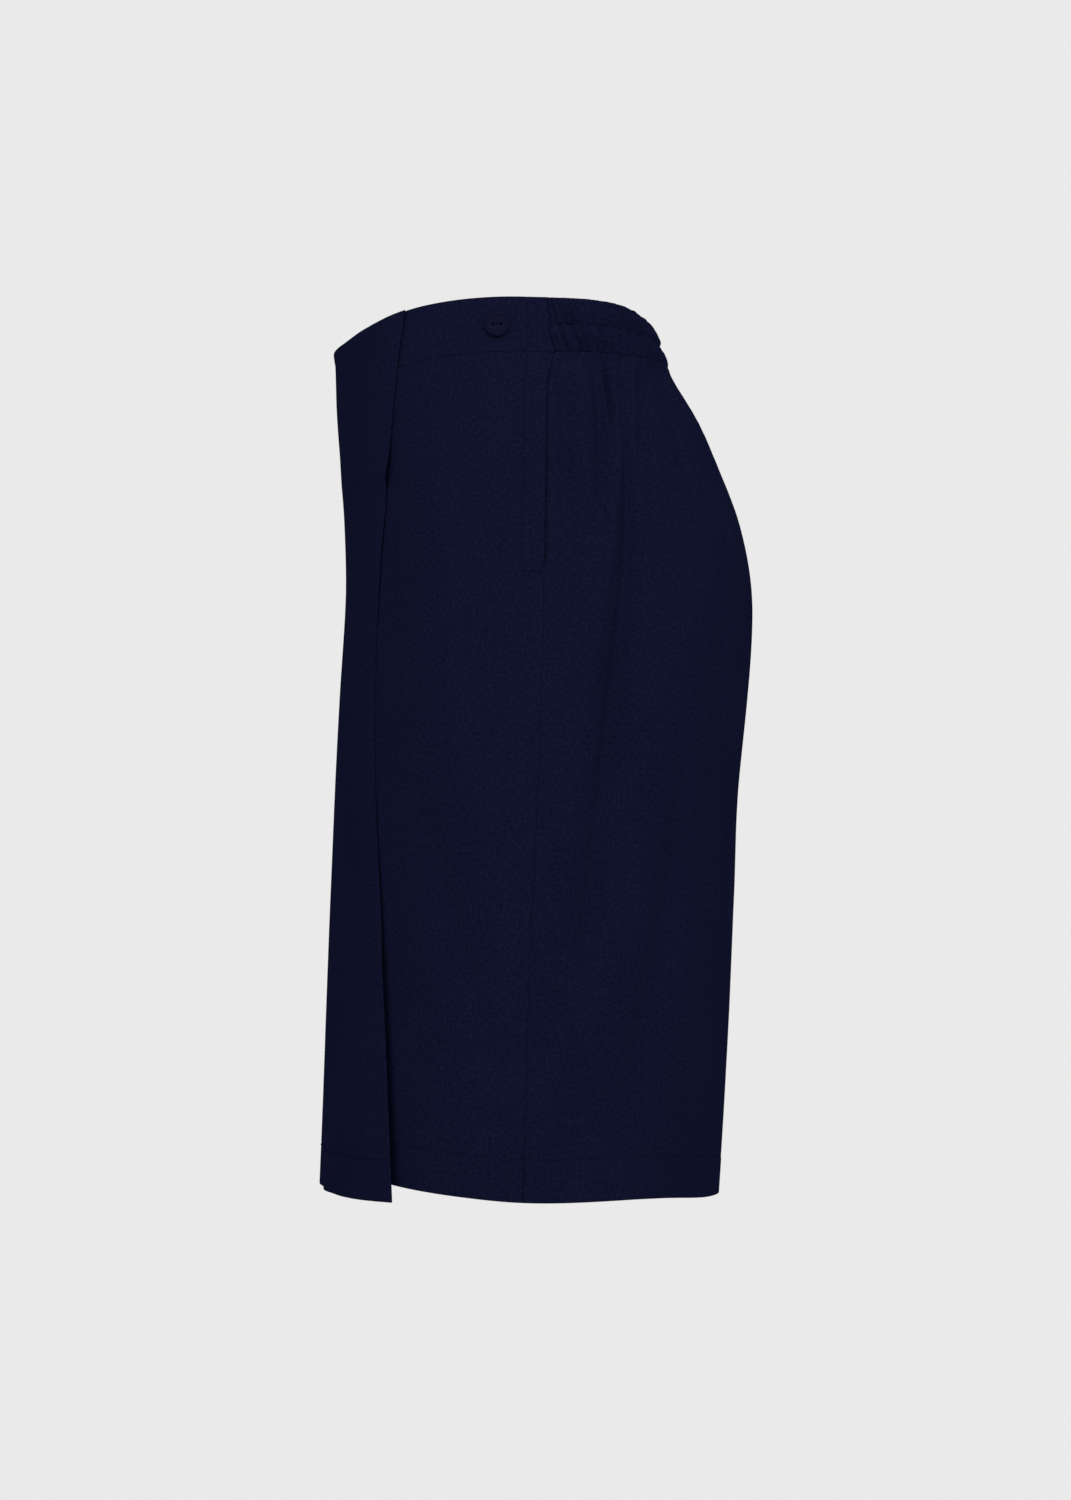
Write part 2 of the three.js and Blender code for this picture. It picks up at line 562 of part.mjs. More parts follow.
function skirtPanel() {
  const edgeDistance = (ring, z) => ring.where((point) => point.y - follow(SKIRT, "z", "edgeY", z));
  const distanceAt = (u, z) => {
    const ring = halfRing(z);
    return mix(-ring.seam + SEAM_GAP, edgeDistance(ring, z), u);
  };
  const surface = (u, v) => {
    const topAt = (z) => topZ(ringPoint(halfRing(z), distanceAt(u, z)).y);
    const top = topAt(topAt(topAt(0)));
    // The hem hangs lowest at the middle front.
    const fromFront = distanceAt(u, SKIRT_HEM.front);
    const isLeft = fromFront > 0;
    const end = distanceAt(isLeft ? 1 : 0, SKIRT_HEM.front);
    const rise = Math.hypot(fromFront / end, SKIRT_HEM_ROUND) - SKIRT_HEM_ROUND;
    const hemShare = rise / (Math.hypot(1, SKIRT_HEM_ROUND) - SKIRT_HEM_ROUND);
    const hem = mix(SKIRT_HEM.front, isLeft ? SKIRT_HEM.edge : SKIRT_HEM.seam, hemShare);
    const z = mix(top, hem, v);
    const ring = halfRing(z);
    const distance = distanceAt(u, z);
    const pointAt = (at) => ringPoint(ring, at);
    const share = distance > 0 ? distance / edgeDistance(ring, z) : -distance / ring.seam;
    const eased = share * share * (3 - 2 * share);
    const endClear = follow(SKIRT, "z", distance > 0 ? "edgeClear" : "seamClear", z);
    const clear = mix(follow(SKIRT, "z", "frontClear", z), endClear, eased);
    return throughWall(pointAt(distance), outwardOf(pointAt, distance), clear + CLOTH_WALL, clear, z);
  };
  return wall(surface, stations(COLUMNS.skirt), stations(ROWS.skirt));
}

// ---------------------------------------------------------------- button

const wasm = await Module();
wasm.setup();

// A three.js geometry as a manifold-3d solid, and back.
function solid(geometry) {
  const bare = geometry.clone();
  bare.deleteAttribute("normal");
  bare.deleteAttribute("uv");
  const merged = mergeVertices(bare, 1e-4);
  return new wasm.Manifold(
    new wasm.Mesh({
      numProp: 3,
      vertProperties: merged.getAttribute("position").array,
      triVerts: new Uint32Array(merged.getIndex().array),
    }),
  );
}

function geometryOf(made) {
  const mesh = made.getMesh();
  const geometry = new THREE.BufferGeometry();
  geometry.setAttribute("position", new THREE.BufferAttribute(mesh.vertProperties, mesh.numProp));
  geometry.setIndex(new THREE.BufferAttribute(mesh.triVerts, 1));
  geometry.computeVertexNormals();
  return geometry;
}

// A two-hole button with a raised rim round a shallow well. Its back lies on the plane z = 0.
function buttonGeometry() {
  const radius = BUTTON.diameter / 2;
  const top = BUTTON.thickness;
  const floor = top - BUTTON_WELL;
  const rimInside = radius - BUTTON_RIM.width + BUTTON_RIM.slope / 2;
  const profile = [
    [0, 0],
    [radius - BUTTON_BEVEL, 0],
    [radius, BUTTON_BEVEL],
    [radius, top - BUTTON_RIM.rounding],
    [radius - BUTTON_RIM.rounding, top],
    [rimInside, top],
    [rimInside - BUTTON_RIM.slope, floor],
    [0, floor],
  ].map(([x, y]) => new THREE.Vector2(x, y));
  const disc = new THREE.LatheGeometry(profile, BUTTON_SIDES).rotateX(Math.PI / 2);
  let button = solid(disc);
  for (const side of [-1, 1]) {
    const { radius: holeRadius, spread } = BUTTON_HOLE;
    const hole = new THREE.CylinderGeometry(holeRadius, holeRadius, 4 * BUTTON.thickness, HOLE_SIDES);
    hole.rotateX(Math.PI / 2).translate((side * spread) / 2, 0, 0);
    button = button.subtract(solid(hole));
  }
  return geometryOf(button);
}

// The button lies on the front waistband at the wearer's left, its holes in line with the band.
function placeButton(mesh) {
  const across = (z) => {
    const ring = halfRing(z);
    return ring.at(ring.where((point) => point.y - BUTTON.y)).x;
  };
  const x = across(BUTTON.z);
  const reach = BUTTON.diameter / 4;
  const tilt = Math.atan2(across(BUTTON.z - reach) - across(BUTTON.z + reach), 2 * reach);
  const outward = new THREE.Vector3(Math.cos(tilt), 0, Math.sin(tilt));
  mesh.position.set(x, BUTTON.y, BUTTON.z).addScaledVector(outward, BUTTON_SEAT);
  const up = new THREE.Vector3(-outward.z, 0, outward.x);
  mesh.setRotationFromMatrix(new THREE.Matrix4().makeBasis(new THREE.Vector3(0, 1, 0), up, outward));
}

// ---------------------------------------------------------------- the skort

const cloth = new THREE.MeshStandardMaterial({ color: NAVY, roughness: 0.92, metalness: 0 });
const plastic = new THREE.MeshStandardMaterial({ color: BUTTON_NAVY, roughness: 0.45, metalness: 0 });
const skort = new THREE.Group();

function add(name, geometry, material = cloth) {
  const mesh = new THREE.Mesh(geometry, material);
  mesh.name = name;
  skort.add(mesh);
  return mesh;
}

for (const [side, folds] of [
  ["left", LEFT_FOLDS],
  ["right", RIGHT_FOLDS],
]) {
  const isLeft = side === "left";
  const front = shortsPanel(true, folds, isLeft);
  const back = shortsPanel(false, folds, false);
  add("front_" + side, isLeft ? front : mirrored(front));
  add("back_" + side, isLeft ? back : mirrored(back));
}
add("skirt_panel", skirtPanel());
add("waistband_front", frontBand());
add("waistband_back", elasticBand());
placeButton(add("button", buttonGeometry(), plastic));

export default skort;
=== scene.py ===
"""A knee-length navy skort: wide-leg shorts with a skirt panel over the front, open as when it is worn.

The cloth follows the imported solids: each panel is a thin shell on the outer face of its own solid. Lengths
are millimetres, as in the part's source, and MM turns them into Blender's metres. Only the studio is laid out
in metres. +Z is up, the front faces -Y and the wearer's left is +X.
"""

import math

import bmesh
import bpy
import numpy as np
from mathutils import Matrix, Vector


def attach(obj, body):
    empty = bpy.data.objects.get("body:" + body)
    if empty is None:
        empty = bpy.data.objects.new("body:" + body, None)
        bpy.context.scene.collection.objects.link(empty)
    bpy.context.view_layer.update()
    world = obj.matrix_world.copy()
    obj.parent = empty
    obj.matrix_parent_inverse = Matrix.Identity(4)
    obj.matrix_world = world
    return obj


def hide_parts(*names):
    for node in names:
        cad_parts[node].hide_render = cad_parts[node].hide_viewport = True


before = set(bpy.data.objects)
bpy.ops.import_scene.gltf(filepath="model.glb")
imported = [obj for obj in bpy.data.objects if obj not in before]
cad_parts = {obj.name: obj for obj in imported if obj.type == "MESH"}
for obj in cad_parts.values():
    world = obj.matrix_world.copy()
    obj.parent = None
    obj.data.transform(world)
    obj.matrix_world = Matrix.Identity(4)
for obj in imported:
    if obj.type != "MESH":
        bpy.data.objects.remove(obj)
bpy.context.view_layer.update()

MM = 0.001
BODY = "root"
CLOTH_SLOT = "navy_cloth"
BUTTON_SLOT = "navy_button"

# ---------------------------------------------------------------- sizes


def columns(names, rows):
    """A table as named columns, sorted by its first one, which is its key."""
    return dict(zip(names.split(), np.array(sorted(rows), float).T))


# Plan sections down the garment. half_width is the x of the side; front and back are the y of the middle
# front and middle back; side is the y of the widest point; power is the roundness of the plan (2 is an
# ellipse); front_fold and back_fold are the radii that turn the cloth in between the legs.
SECTIONS = columns(
    "z half_width front side back power front_fold back_fold",
    [
        (8, 141.0, -98.8, 0, 97.5, 2.0, 0, 0),
        (-4, 142.5, -98.8, 1, 100.0, 2.0, 0, 0),
        (-21, 145.0, -100.3, 2.7, 105.0, 2.03, 0, 0),
        (-27, 146.0, -99.2, 3.4, 107.2, 2.04, 0, 0),
        (-32, 147.0, -98.9, 4, 109.5, 2.05, 0, 0),
        (-60, 154.5, -97.7, 8, 128.5, 2.1, 4, 4),
        (-92, 163.5, -95.0, 12, 143.0, 2.15, 8, 8),
        (-130, 172.5, -91.8, 15, 157.0, 2.2, 12, 14),
        (-175, 180.0, -90.4, 17, 164.1, 2.25, 16, 26),
        (-240, 186.5, -93.5, 19, 161.0, 2.3, 24, 40),
        (-296, 190.0, -95.4, 19, 155.8, 2.3, 32, 50),
        (-360, 193.7, -96.6, 18.5, 154.2, 2.3, 42, 55),
        (-420, 197.0, -97.4, 18, 151.4, 2.3, 50, 58),
        (-550, 204.0, -99.9, 17, 143.2, 2.3, 60, 60),
    ],
)
FOLD_REACH = 62  # the x where every section is past its middle fold
FOLD_SHARE, FOLD_LENGTH = 0.66, 87  # the stretch past it that the fold's columns cover, in share and mm

CROTCH_Z = -285
CROTCH_Y = 22
FRONT_RISE_CURVE_Z = -180  # where the middle front seam starts to curve under
BACK_RISE_CURVE_Z = -165
INSEAM_FLARE = 3  # how far the inside leg stands off the middle
INSEAM_FLARE_OVER = 12
LEG_SPREAD = 0.016  # further gap between the legs, per mm below the crotch
SEAM_HALF_GAP = 0.15

# The waist's top edge and the seam under the waistband, by y.
WAIST_EDGE = columns(
    "y top seam",
    [
        (-101, -20.4, -52),
        (-90, -18.0, -48),
        (-78, -13.3, -44.5),
        (-55, -5.6, -39.5),
        (-31, -1.8, -35.5),
        (0, 0.5, -33.3),
        (36, 1.4, -32.5),
        (60, 2.7, -31.2),
        (80, 2.6, -30.2),
        (94, -0.5, -29.4),
        (104, -4, -28.6),
    ],
)
# The side seam, by height. It bulges back where the waistband is sewn on.
SIDE_SEAM = columns(
    "z y",
    [
        (8, 32.5),
        (-12, 33.8),
        (-22, 34.2),
        (-33, 37.5),
        (-48, 33.2),
        (-66, 32.2),
        (-113, 31.6),
        (-154, 31.0),
        (-207, 30.2),
        (-253, 29.0),
        (-300, 27.1),
        (-359, 24.2),
        (-427, 21.5),
        (-491, 19.7),
        (-550, 18.6),
    ],
)
SHORTS_HEM = columns(
    "y z",
    [
        (-102, -526),
        (-60, -528.5),
        (-20, -531.5),
        (20, -534.3),
        (80, -535.0),
        (100, -536.4),
        (115, -539.0),
        (132, -543.8),
        (140, -547.2),
        (146, -550.0),
    ],
)
# edge_y is the y of the skirt panel's free edge at the wearer's left. edge, front and seam are the gaps
# between the panel and the shorts at the free edge, the middle front and the right side seam.
SKIRT = columns(
    "z edge_y edge front seam",
    [
        (8, -50.5, 0.8, 0.8, 0.7),
        (-5, -52.0, 0.8, 0.8, 0.7),
        (-40, -57.0, 0.7, 1.2, 0.8),
        (-84, -60.8, 0.7, 1.6, 0.8),
        (-93, -61.2, 1.1, 1.8, 0.8),
        (-106, -62.0, 2.6, 2.0, 0.7),
        (-112, -63.5, 1.0, 2.1, 0.7),
        (-124, -64.2, 0.7, 2.2, 0.7),
        (-157, -67.3, 0.7, 2.4, 0.7),
        (-229, -70.3, 0.7, 2.8, 0.7),
        (-295, -69.6, 0.9, 4.0, 0.7),
        (-361, -65.7, 1.4, 5.2, 0.8),
        (-450, -60.0, 2.6, 7.2, 1.0),
        (-550, -54.0, 4.6, 9.6, 1.4),
    ],
)
SKIRT_HEM = {"front": -547.2, "edge": -537.8, "seam": -539}
SKIRT_HEM_ROUND = 0.15  # the share of the way to its ends over which it rounds at the middle front
CAD_WALL = 1.6  # the solids' cloth wall; the shells lie on its outer face
BAND_WALL = 2.4
CLOTH = 0.8  # the real cloth, as the shells have it
SEAM_OVERLAP = 0.15  # sewn edges run on this far, so that no light comes through their seam
END_REACH = 3  # how far each leg's plan is carried on straight past its ends

# Soft folds. A row is a trough (depth > 0) or a ridge (depth < 0) that runs down the cloth: the z of its top
# and end, its headings at its top, middle and end, its depth, its spread and its steep. Headings are degrees
# round from the wearer's left towards the back. spread is the half width. steep makes the front side (down to
# -1) or the back side (up to 1) narrower and steeper than the other.
BODY_FOLDS = [
    (-30, -200, 9.4, 8.2, 7.4, 2.2, 8, 0),
    (-28, -150, 18.6, 17, 14, 3, 6, 0),
    (-28, -440, 25.5, 11.8, 3.6, -2.6, 8, 0),
    (-28, -470, 28.5, 16.6, 8.6, 5.4, 12, 0),
    (-28, -120, 40, 30.5, 26, 2.6, 7, 0),
    (-28, -170, 53, 50, 48, 3, 8, 0),
    (-28, -130, 64, 62, 60, 2.6, 7, 0),
    (-28, -160, 76, 75, 74, 3, 8, 0),
    (-250, -500, 34, 28.5, 15, 3.2, 16, 0),
    (-290, -520, 62, 57, 50, 3, 18, 0),
    (-300, -470, -20, -12, -3, 2.4, 16, 0),
]
# Creases that are too fine for the solids, in the same columns.
CREASES = [
    (-34, -230, 9.4, 8.2, 7.6, 2.4, 5.0, -0.2),
    (-34, -110, 14.0, 12.6, 12.0, -2.0, 5.0, 0),
    (-36, -150, 19.0, 17.0, 13.8, 2.4, 4.0, 0),
    (-34, -135, 21.4, 20.0, 17.2, 3.6, 2.6, -0.3),
    (-30, -84, 22.6, 21.8, 20.8, 9.0, 3.3, -0.4),
    (-36, -150, 24.6, 20.6, 16.6, -2.4, 3.6, 0),
    (-60, -440, 23.5, 10.8, 3.6, -1.6, 6.0, 0.4),
    (-31, -430, 28.4, 16.8, 8.8, 3.0, 5.5, -0.3),
    (-34, -130, 32.4, 27.6, 24.4, -2.4, 5.0, 0),
    (-31, -145, 40.0, 29.8, 25.4, 3.8, 4.6, 0),
    (-30, -130, 46.6, 43.0, 41.0, 3.0, 5.2, 0.3),
    (-30, -170, 58.0, 55.5, 54.0, 3.4, 6.0, -0.3),
    (-30, -125, 69.6, 68.6, 68.0, 3.0, 5.0, 0.2),
    (-30, -180, 82.2, 81.2, 80.4, 3.6, 6.2, -0.3),
    (-235, -490, 32.4, 28.0, 16.0, 1.8, 14, -0.2),
    (-180, -400, 46.0, 44.0, 40.0, 2.0, 14, 0.3),
    (-280, -525, 63.0, 58.0, 51.0, 2.4, 14, -0.3),
    (-220, -430, 80.0, 79.0, 76.0, 2.4, 14, 0.3),
    (-300, -480, -20.0, -12.0, -3.0, 1.6, 14, 0.3),
    (-190, -350, -5.0, -9.0, -15.0, 1.4, 14, 0),
]
# The skirt panel's drape folds. Their headings run round to the wearer's right, past -90.
SKIRT_FOLDS = [
    (-150, -700, -52.0, -53.0, -54.0, 1.2, 16.0, 0),
    (-210, -720, -70.0, -72.0, -74.0, 2.4, 20.0, 0),
    (-170, -700, -86.0, -85.0, -84.0, -1.6, 18.0, 0),
    (-190, -740, -100.0, -102.0, -104.0, 2.2, 22.0, 0),
    (-160, -700, -122.0, -121.0, -120.0, -1.4, 18.0, 0),
    (-220, -720, -138.0, -139.0, -141.0, 2.0, 18.0, 0),
]
HEADING_CENTRE_Y = 20  # headings turn about the upright line through this y
GATHERED_ABOVE = -40  # a fold that starts above this height is gathered into the waist seam
SEWN_SHARE = 0.35  # of its depth, where a gathered fold is sewn into the seam
SEWN_REACH = 24  # it has its full depth this far below the seam
RIGHT_TURN = 2.6  # the right side's folds are turned this many degrees at most
RIGHT_DEPTH = (0.9, 0.15)  # mean and swing of their depths, as shares of the left's
RIGHT_RATES = (2.4, 1.7)  # how fast their turn and depth swing from one row to the next
RIGHT_DEEPEST = 2.6  # before that swing, the right side's fine creases are no deeper than this

PLACKET_TOP, PLACKET_END = -34, -166
# How wide the placket is, how far its edge lifts, and over what height it opens.
PLACKET_WIDTH, PLACKET_LIFT, PLACKET_EASE = 13, 1.3, 8
UNDERLAP = 4  # how far the back panel runs on under the placket
UNDERLAP_RISE = 4  # how many times sooner than the placket opens the underlap has its full width
SEAM_BULGE, SEAM_BULGE_REACH = 3.8, 8  # of the side seam at the waist, which the placket's stitches run past

GATHERS = 48
GATHER_LEAN = 6  # how far the elastic band's gathers lean out at its lower edge, near its ends
LEAN_SHARE = 1 / 6  # the share of the band's length over which they stand up straight again
END_SHARE = 1 / 90  # the share of it, at each end, over which the gathers grow

HEM = 25  # the depth of the turned-up hem
FACED_EDGE = 12  # the depth of the skirt panel's turned-in free edge
GROOVE_SPREAD = 0.8  # half width of the dent that a stitched line pulls into the cloth

# ---------------------------------------------------------------- curves through tables


def mix(a, b, share):
    return a + (b - a) * share


def smooth(share):
    share = np.clip(share, 0, 1)
    return share * share * (3 - 2 * share)


def follow(table, column, at):
    """One column of a table at the given keys, on a smooth curve through the table's rows."""
    keys, values = next(iter(table.values())), table[column]
    slopes = np.empty(len(keys))
    slopes[1:-1] = (values[2:] - values[:-2]) / (keys[2:] - keys[:-2])
    slopes[0] = (values[1] - values[0]) / (keys[1] - keys[0])
    slopes[-1] = (values[-1] - values[-2]) / (keys[-1] - keys[-2])
    i = np.clip(np.searchsorted(keys, at) - 1, 0, len(keys) - 2)
    span = keys[i + 1] - keys[i]
    t = np.clip((at - keys[i]) / span, 0, 1)
    return (
        values[i] * (1 + 2 * t) * (1 - t) ** 2
        + slopes[i] * span * t * (1 - t) ** 2
        + values[i + 1] * t * t * (3 - 2 * t)
        + slopes[i + 1] * span * t * t * (t - 1)
    )


# ---------------------------------------------------------------- plan curves

PLAN_STEPS = 160  # points of a half plan, less one
INSIDE_STEPS = 24  # points along the inside of a leg
NORMAL_REACH = 2  # the outward direction is read from places this far to either side


def half_plan(z):
    """The garment's left half at one height, from the middle front round the side to the middle back."""
    half_width, front, side, back, power = (
        follow(SECTIONS, name, z) for name in ("half_width", "front", "side", "back", "power")
    )
    turn = np.linspace(0, math.pi, PLAN_STEPS + 1)
    reach = np.where(turn < math.pi / 2, front, back)
    outward = np.abs(np.sin(turn)) ** (2 / power)
    along = np.abs(np.cos(turn)) ** (2 / power)
    return np.stack([half_width * outward, mix(side, reach, along)], 1)


def turn_in(points, z, edge, fold, curve_z):
    """Moves the first end of a half plan in between the legs: the cloth's fold and the inside leg."""
    middle = points[0, 1]
    down = np.clip((curve_z - z) / (curve_z - CROTCH_Z), 0, 1)
    depth = (edge - middle) * (1 - math.sqrt(1 - down * down))
    radius = min(abs(depth), fold)
    inward = math.copysign(1, edge - middle)
    seam_y = middle + depth
    below = max(0, CROTCH_Z - z)

    def inside_x(y):
        away = np.hypot(seam_y - y, below)
        flare = INSEAM_FLARE * (1 - np.exp(-away / INSEAM_FLARE_OVER))
        return SEAM_HALF_GAP + flare + LEG_SPREAD * below

    turned = points.copy()
    turned[:, 0] = np.maximum(turned[:, 0], SEAM_HALF_GAP)
    short = radius - points[:, 0]
    near = short > 0
    rounded = radius - np.sqrt(np.maximum(radius**2 - short[near] ** 2, 0))
    turned[near, 1] = points[near, 1] + inward * rounded
    turned[near, 0] = points[near, 0] + inside_x(turned[near, 1]) * (short[near] / radius)
    start = turned[0, 1]
    if abs(seam_y - start) <= 2 * SEAM_HALF_GAP:
        return turned
    y = mix(seam_y, start, np.arange(INSIDE_STEPS) / INSIDE_STEPS)
    return np.concatenate([np.stack([inside_x(y), y], 1), turned])


def lengths(points):
    """The distance of each point along a line of points."""
    steps = np.hypot(*np.diff(points, axis=0).T)
    return np.concatenate([[0], np.cumsum(steps)])


def first_crossing(values, along):
    """The distance at which values first pass from below zero to zero or more."""
    i = np.nonzero((values[:-1] < 0) & (values[1:] >= 0))[0][0]
    return mix(along[i], along[i + 1], -values[i] / (values[i + 1] - values[i]))


def carried_on(points, reach):
    """A line of points with both its ends carried on straight."""
    before, after = points[0] - points[1], points[-1] - points[-2]
    first = points[0] + before * reach / np.linalg.norm(before)
    last = points[-1] + after * reach / np.linalg.norm(after)
    return np.concatenate([[first], points, [last]])


def leg_curve(z):
    """One leg's plan from its front seam round the side to its back seam, read from the side seam."""
    half = half_plan(z)
    widest = PLAN_STEPS // 2
    front_fold = follow(SECTIONS, "front_fold", z)
    back_fold = follow(SECTIONS, "back_fold", z)
    front = turn_in(half[: widest + 1], z, CROTCH_Y - SEAM_HALF_GAP, front_fold, FRONT_RISE_CURVE_Z)
    back = turn_in(half[widest:][::-1], z, CROTCH_Y + SEAM_HALF_GAP, back_fold, BACK_RISE_CURVE_Z)
    points = np.concatenate([front, back[::-1][1:]])
    along = lengths(points)
    side = len(front) - 1
    seam = first_crossing(points[side:, 1] - follow(SIDE_SEAM, "y", z), along[side:])
    front_turn = first_crossing(points[:, 0] - FOLD_REACH, along)
    back_turn = along[-1] - first_crossing(points[::-1, 0] - FOLD_REACH, along[-1] - along[::-1])
    marks = {
        "front_end": -seam,
        "front_turn": front_turn - seam,
        "back_turn": back_turn - seam,
        "back_end": along[-1] - seam,
    }
    along = np.concatenate([[-END_REACH], along, [along[-1] + END_REACH]])
    return carried_on(points, END_REACH), along - seam, marks


def ring_curve(z):
    """The whole ring's plan, twice round, read from the middle front towards the wearer's left."""
    half = half_plan(z)
    whole = np.concatenate([half, (half * [-1, 1])[::-1][1:]])
    along = lengths(whole)
    half_along = along[: len(half)]
    seam = first_crossing(half[:, 1] - follow(SIDE_SEAM, "y", z), half_along)
    edge = first_crossing(half[:, 1] - follow(SKIRT, "edge_y", z), half_along)
    points = np.concatenate([whole[:-1], whole])
    marks = {"half": half_along[-1], "seam": seam, "edge": edge}
    return points, np.concatenate([along[:-1] - along[-1], along]), marks


class Form:
    """Plan curves at many heights. A place on a form is a distance along its curve, and a height."""

    def __init__(self, heights, curve):
        self.heights = heights
        self.curves = [curve(z) for z in heights]

    def mark(self, name, z):
        return np.interp(z, self.heights, [marks[name] for _, _, marks in self.curves])

    def at(self, along, z):
        along, z = np.broadcast_arrays(along, z)
        above = np.clip(np.searchsorted(self.heights, z), 1, len(self.heights) - 1)
        span = self.heights[above] - self.heights[above - 1]
        share = np.clip((z - self.heights[above - 1]) / span, 0, 1)
        found = np.zeros(z.shape + (2,))
        for level in np.unique(above):
            here = above == level
            for k, weight in ((level - 1, 1 - share[here]), (level, share[here])):
                points, distance, _ = self.curves[k]
                for axis in (0, 1):
                    found[here, axis] += weight * np.interp(along[here], distance, points[:, axis])
        return found

    def facing(self, along, z):
        """The outward direction in plan."""
        tangent = self.at(along + NORMAL_REACH, z) - self.at(along - NORMAL_REACH, z)
        tangent /= np.linalg.norm(tangent, axis=-1, keepdims=True)
        return np.stack([tangent[..., 1], -tangent[..., 0]], -1)


EVEN_HEIGHTS = np.arange(-556, 12, 2.0)
CROTCH_HEIGHTS = np.arange(CROTCH_Z - 4, CROTCH_Z + 12, 0.25)  # close together, where the plan changes fast
FORM_HEIGHTS = np.unique(np.concatenate([EVEN_HEIGHTS, CROTCH_HEIGHTS]))
LEGS = Form(FORM_HEIGHTS, leg_curve)
RING = Form(FORM_HEIGHTS, ring_curve)
SETTLING_ROUNDS = 4


def settle(height, place_at, start):
    """The height on an edge whose height follows y, at places whose y follows their height in turn."""
    z = start
    for _ in range(SETTLING_ROUNDS):
        z = height(place_at(z)[..., 1])
    return z


def waist_edge(y):
    return follow(WAIST_EDGE, "top", y)


def waist_seam(y):
    return follow(WAIST_EDGE, "seam", y)


def shorts_hem(y):
    return follow(SHORTS_HEM, "z", y)


# ---------------------------------------------------------------- stations across and down a piece

EDGE_STEPS = (0, 0.06, 0.25, 0.6, 1)  # shares of an edge's rounding, close together at the edge itself
STITCH_STEPS = (-2, -1.1, -0.5, 0, 0.5, 1.1, 2)  # mm either side of a stitched line
CROWD_CLEARANCE = 1.5  # a crowd of places keeps others out of this many times its own reach


class Stations:
    """Places along a span of changing length. Each is a share of the length and an offset in mm."""

    def __init__(self):
        self.shares, self.offsets = [], []

    def near_start(self, *offsets):
        self.shares += [0] * len(offsets)
        self.offsets += offsets
        return self

    def near_end(self, *offsets):
        self.shares += [1] * len(offsets)
        self.offsets += [-offset for offset in offsets]
        return self

    def even(self, count, start, end):
        """count places inside the stretch from start mm after the start to end mm before the end."""
        for step in range(1, count + 1):
            t = step / (count + 1)
            self.shares.append(t)
            self.offsets.append(start * (1 - t) - end * t)
        return self

    def crowd(self, place, steps, length):
        """Adds places round one that lies at place along a span of about the given length.

        Those already too near it are dropped.
        """
        kept = []
        for share, offset in zip(self.shares, self.offsets):
            if abs(share * length + offset - place) > CROWD_CLEARANCE * steps[-1]:
                kept.append((share, offset))
        kept += [(place / length, step) for step in steps]
        kept.sort(key=lambda station: station[0] * length + station[1])
        self.shares, self.offsets = (list(values) for values in zip(*kept))
        return self


class Across:
    """Columns across a piece. Each stretch has its stations, and its two ends as functions of the height."""

    def __init__(self, *stretches):
        self.stretches = stretches
        self.count = sum(len(stations.shares) for stations, _, _ in stretches)

    def at(self, z):
        """The distance of each place in a grid of heights (columns, rows)."""
        found, first = [], 0
        for stations, start, end in self.stretches:
            last = first + len(stations.shares)
            low, high = start(z[first:last]), end(z[first:last])
            shares = np.array(stations.shares)[:, None]
            found.append(low + shares * (high - low) + np.array(stations.offsets)[:, None])
            first = last
        return np.concatenate(found)


def edge_stations(radius):
    return [radius * step for step in EDGE_STEPS]


def rounding(distance, radius):
    """How far a rounded edge has dropped at a distance from it: 1 at the edge, and 0 from the radius on."""
    short = np.clip(1 - distance / radius, 0, 1)
    return 1 - np.sqrt(1 - short * short)


def bell(distance, spread):
    return np.exp(-((distance / spread) ** 2))


# ---------------------------------------------------------------- meshes

CLOTH_MAP = "cloth"  # the UV map that holds each place's position on the flat cloth, in metres
MIRROR = {"left": np.array([1, 1, 1]), "right": np.array([-1, 1, 1])}  # pieces are worked out on the left


def new_object(name, data):
    thing = bpy.data.objects.new(name, data)
    bpy.context.scene.collection.objects.link(thing)
    return thing


def mesh_object(name, points, faces, flat=None):
    """A smooth mesh of points in mm and faces of four corners, with a UV map if flat gives one in mm."""
    mesh = bpy.data.meshes.new(name)
    mesh.vertices.add(len(points))
    mesh.vertices.foreach_set("co", (points * MM).ravel())
    mesh.loops.add(faces.size)
    mesh.loops.foreach_set("vertex_index", faces.ravel().astype(np.int32))
    mesh.polygons.add(len(faces))
    mesh.polygons.foreach_set("loop_start", np.arange(0, faces.size, 4, dtype=np.int32))
    mesh.update(calc_edges=True)
    mesh.validate()
    if flat is not None:
        layer = mesh.uv_layers.new(name=CLOTH_MAP)
        layer.uv.foreach_set("vector", (flat * MM)[faces.ravel()].astype(np.float32).ravel())
    mesh.shade_smooth()
    return new_object(name, mesh)


def grid_faces(index):
    """The four-cornered faces of a grid of point numbers."""
    corners = index[:-1, :-1], index[:-1, 1:], index[1:, 1:], index[1:, :-1]
    return np.stack([corner.ravel() for corner in corners], 1)


def shell(name, outer, inner, flat, side="left"):
    """A closed thin wall from two grids of points (columns, rows, 3) that meet at their borders, in mm."""
    inside = (slice(1, -1), slice(1, -1))
    outer_index = np.arange(outer[..., 0].size).reshape(outer.shape[:2])
    inner_index = outer_index.copy()
    inner_places = inner[inside].reshape(-1, 3)
    inner_index[inside] = outer_index.size + np.arange(len(inner_places)).reshape(inner_index[inside].shape)
    points = np.concatenate([outer.reshape(-1, 3), inner_places]) * MIRROR[side]
    faces = np.concatenate([grid_faces(outer_index), grid_faces(inner_index)[:, ::-1]])
    if side == "right":
        faces = faces[:, ::-1]
    flat = np.concatenate([flat.reshape(-1, 2), flat[inside].reshape(-1, 2)])
    return mesh_object(name, points, faces, flat)


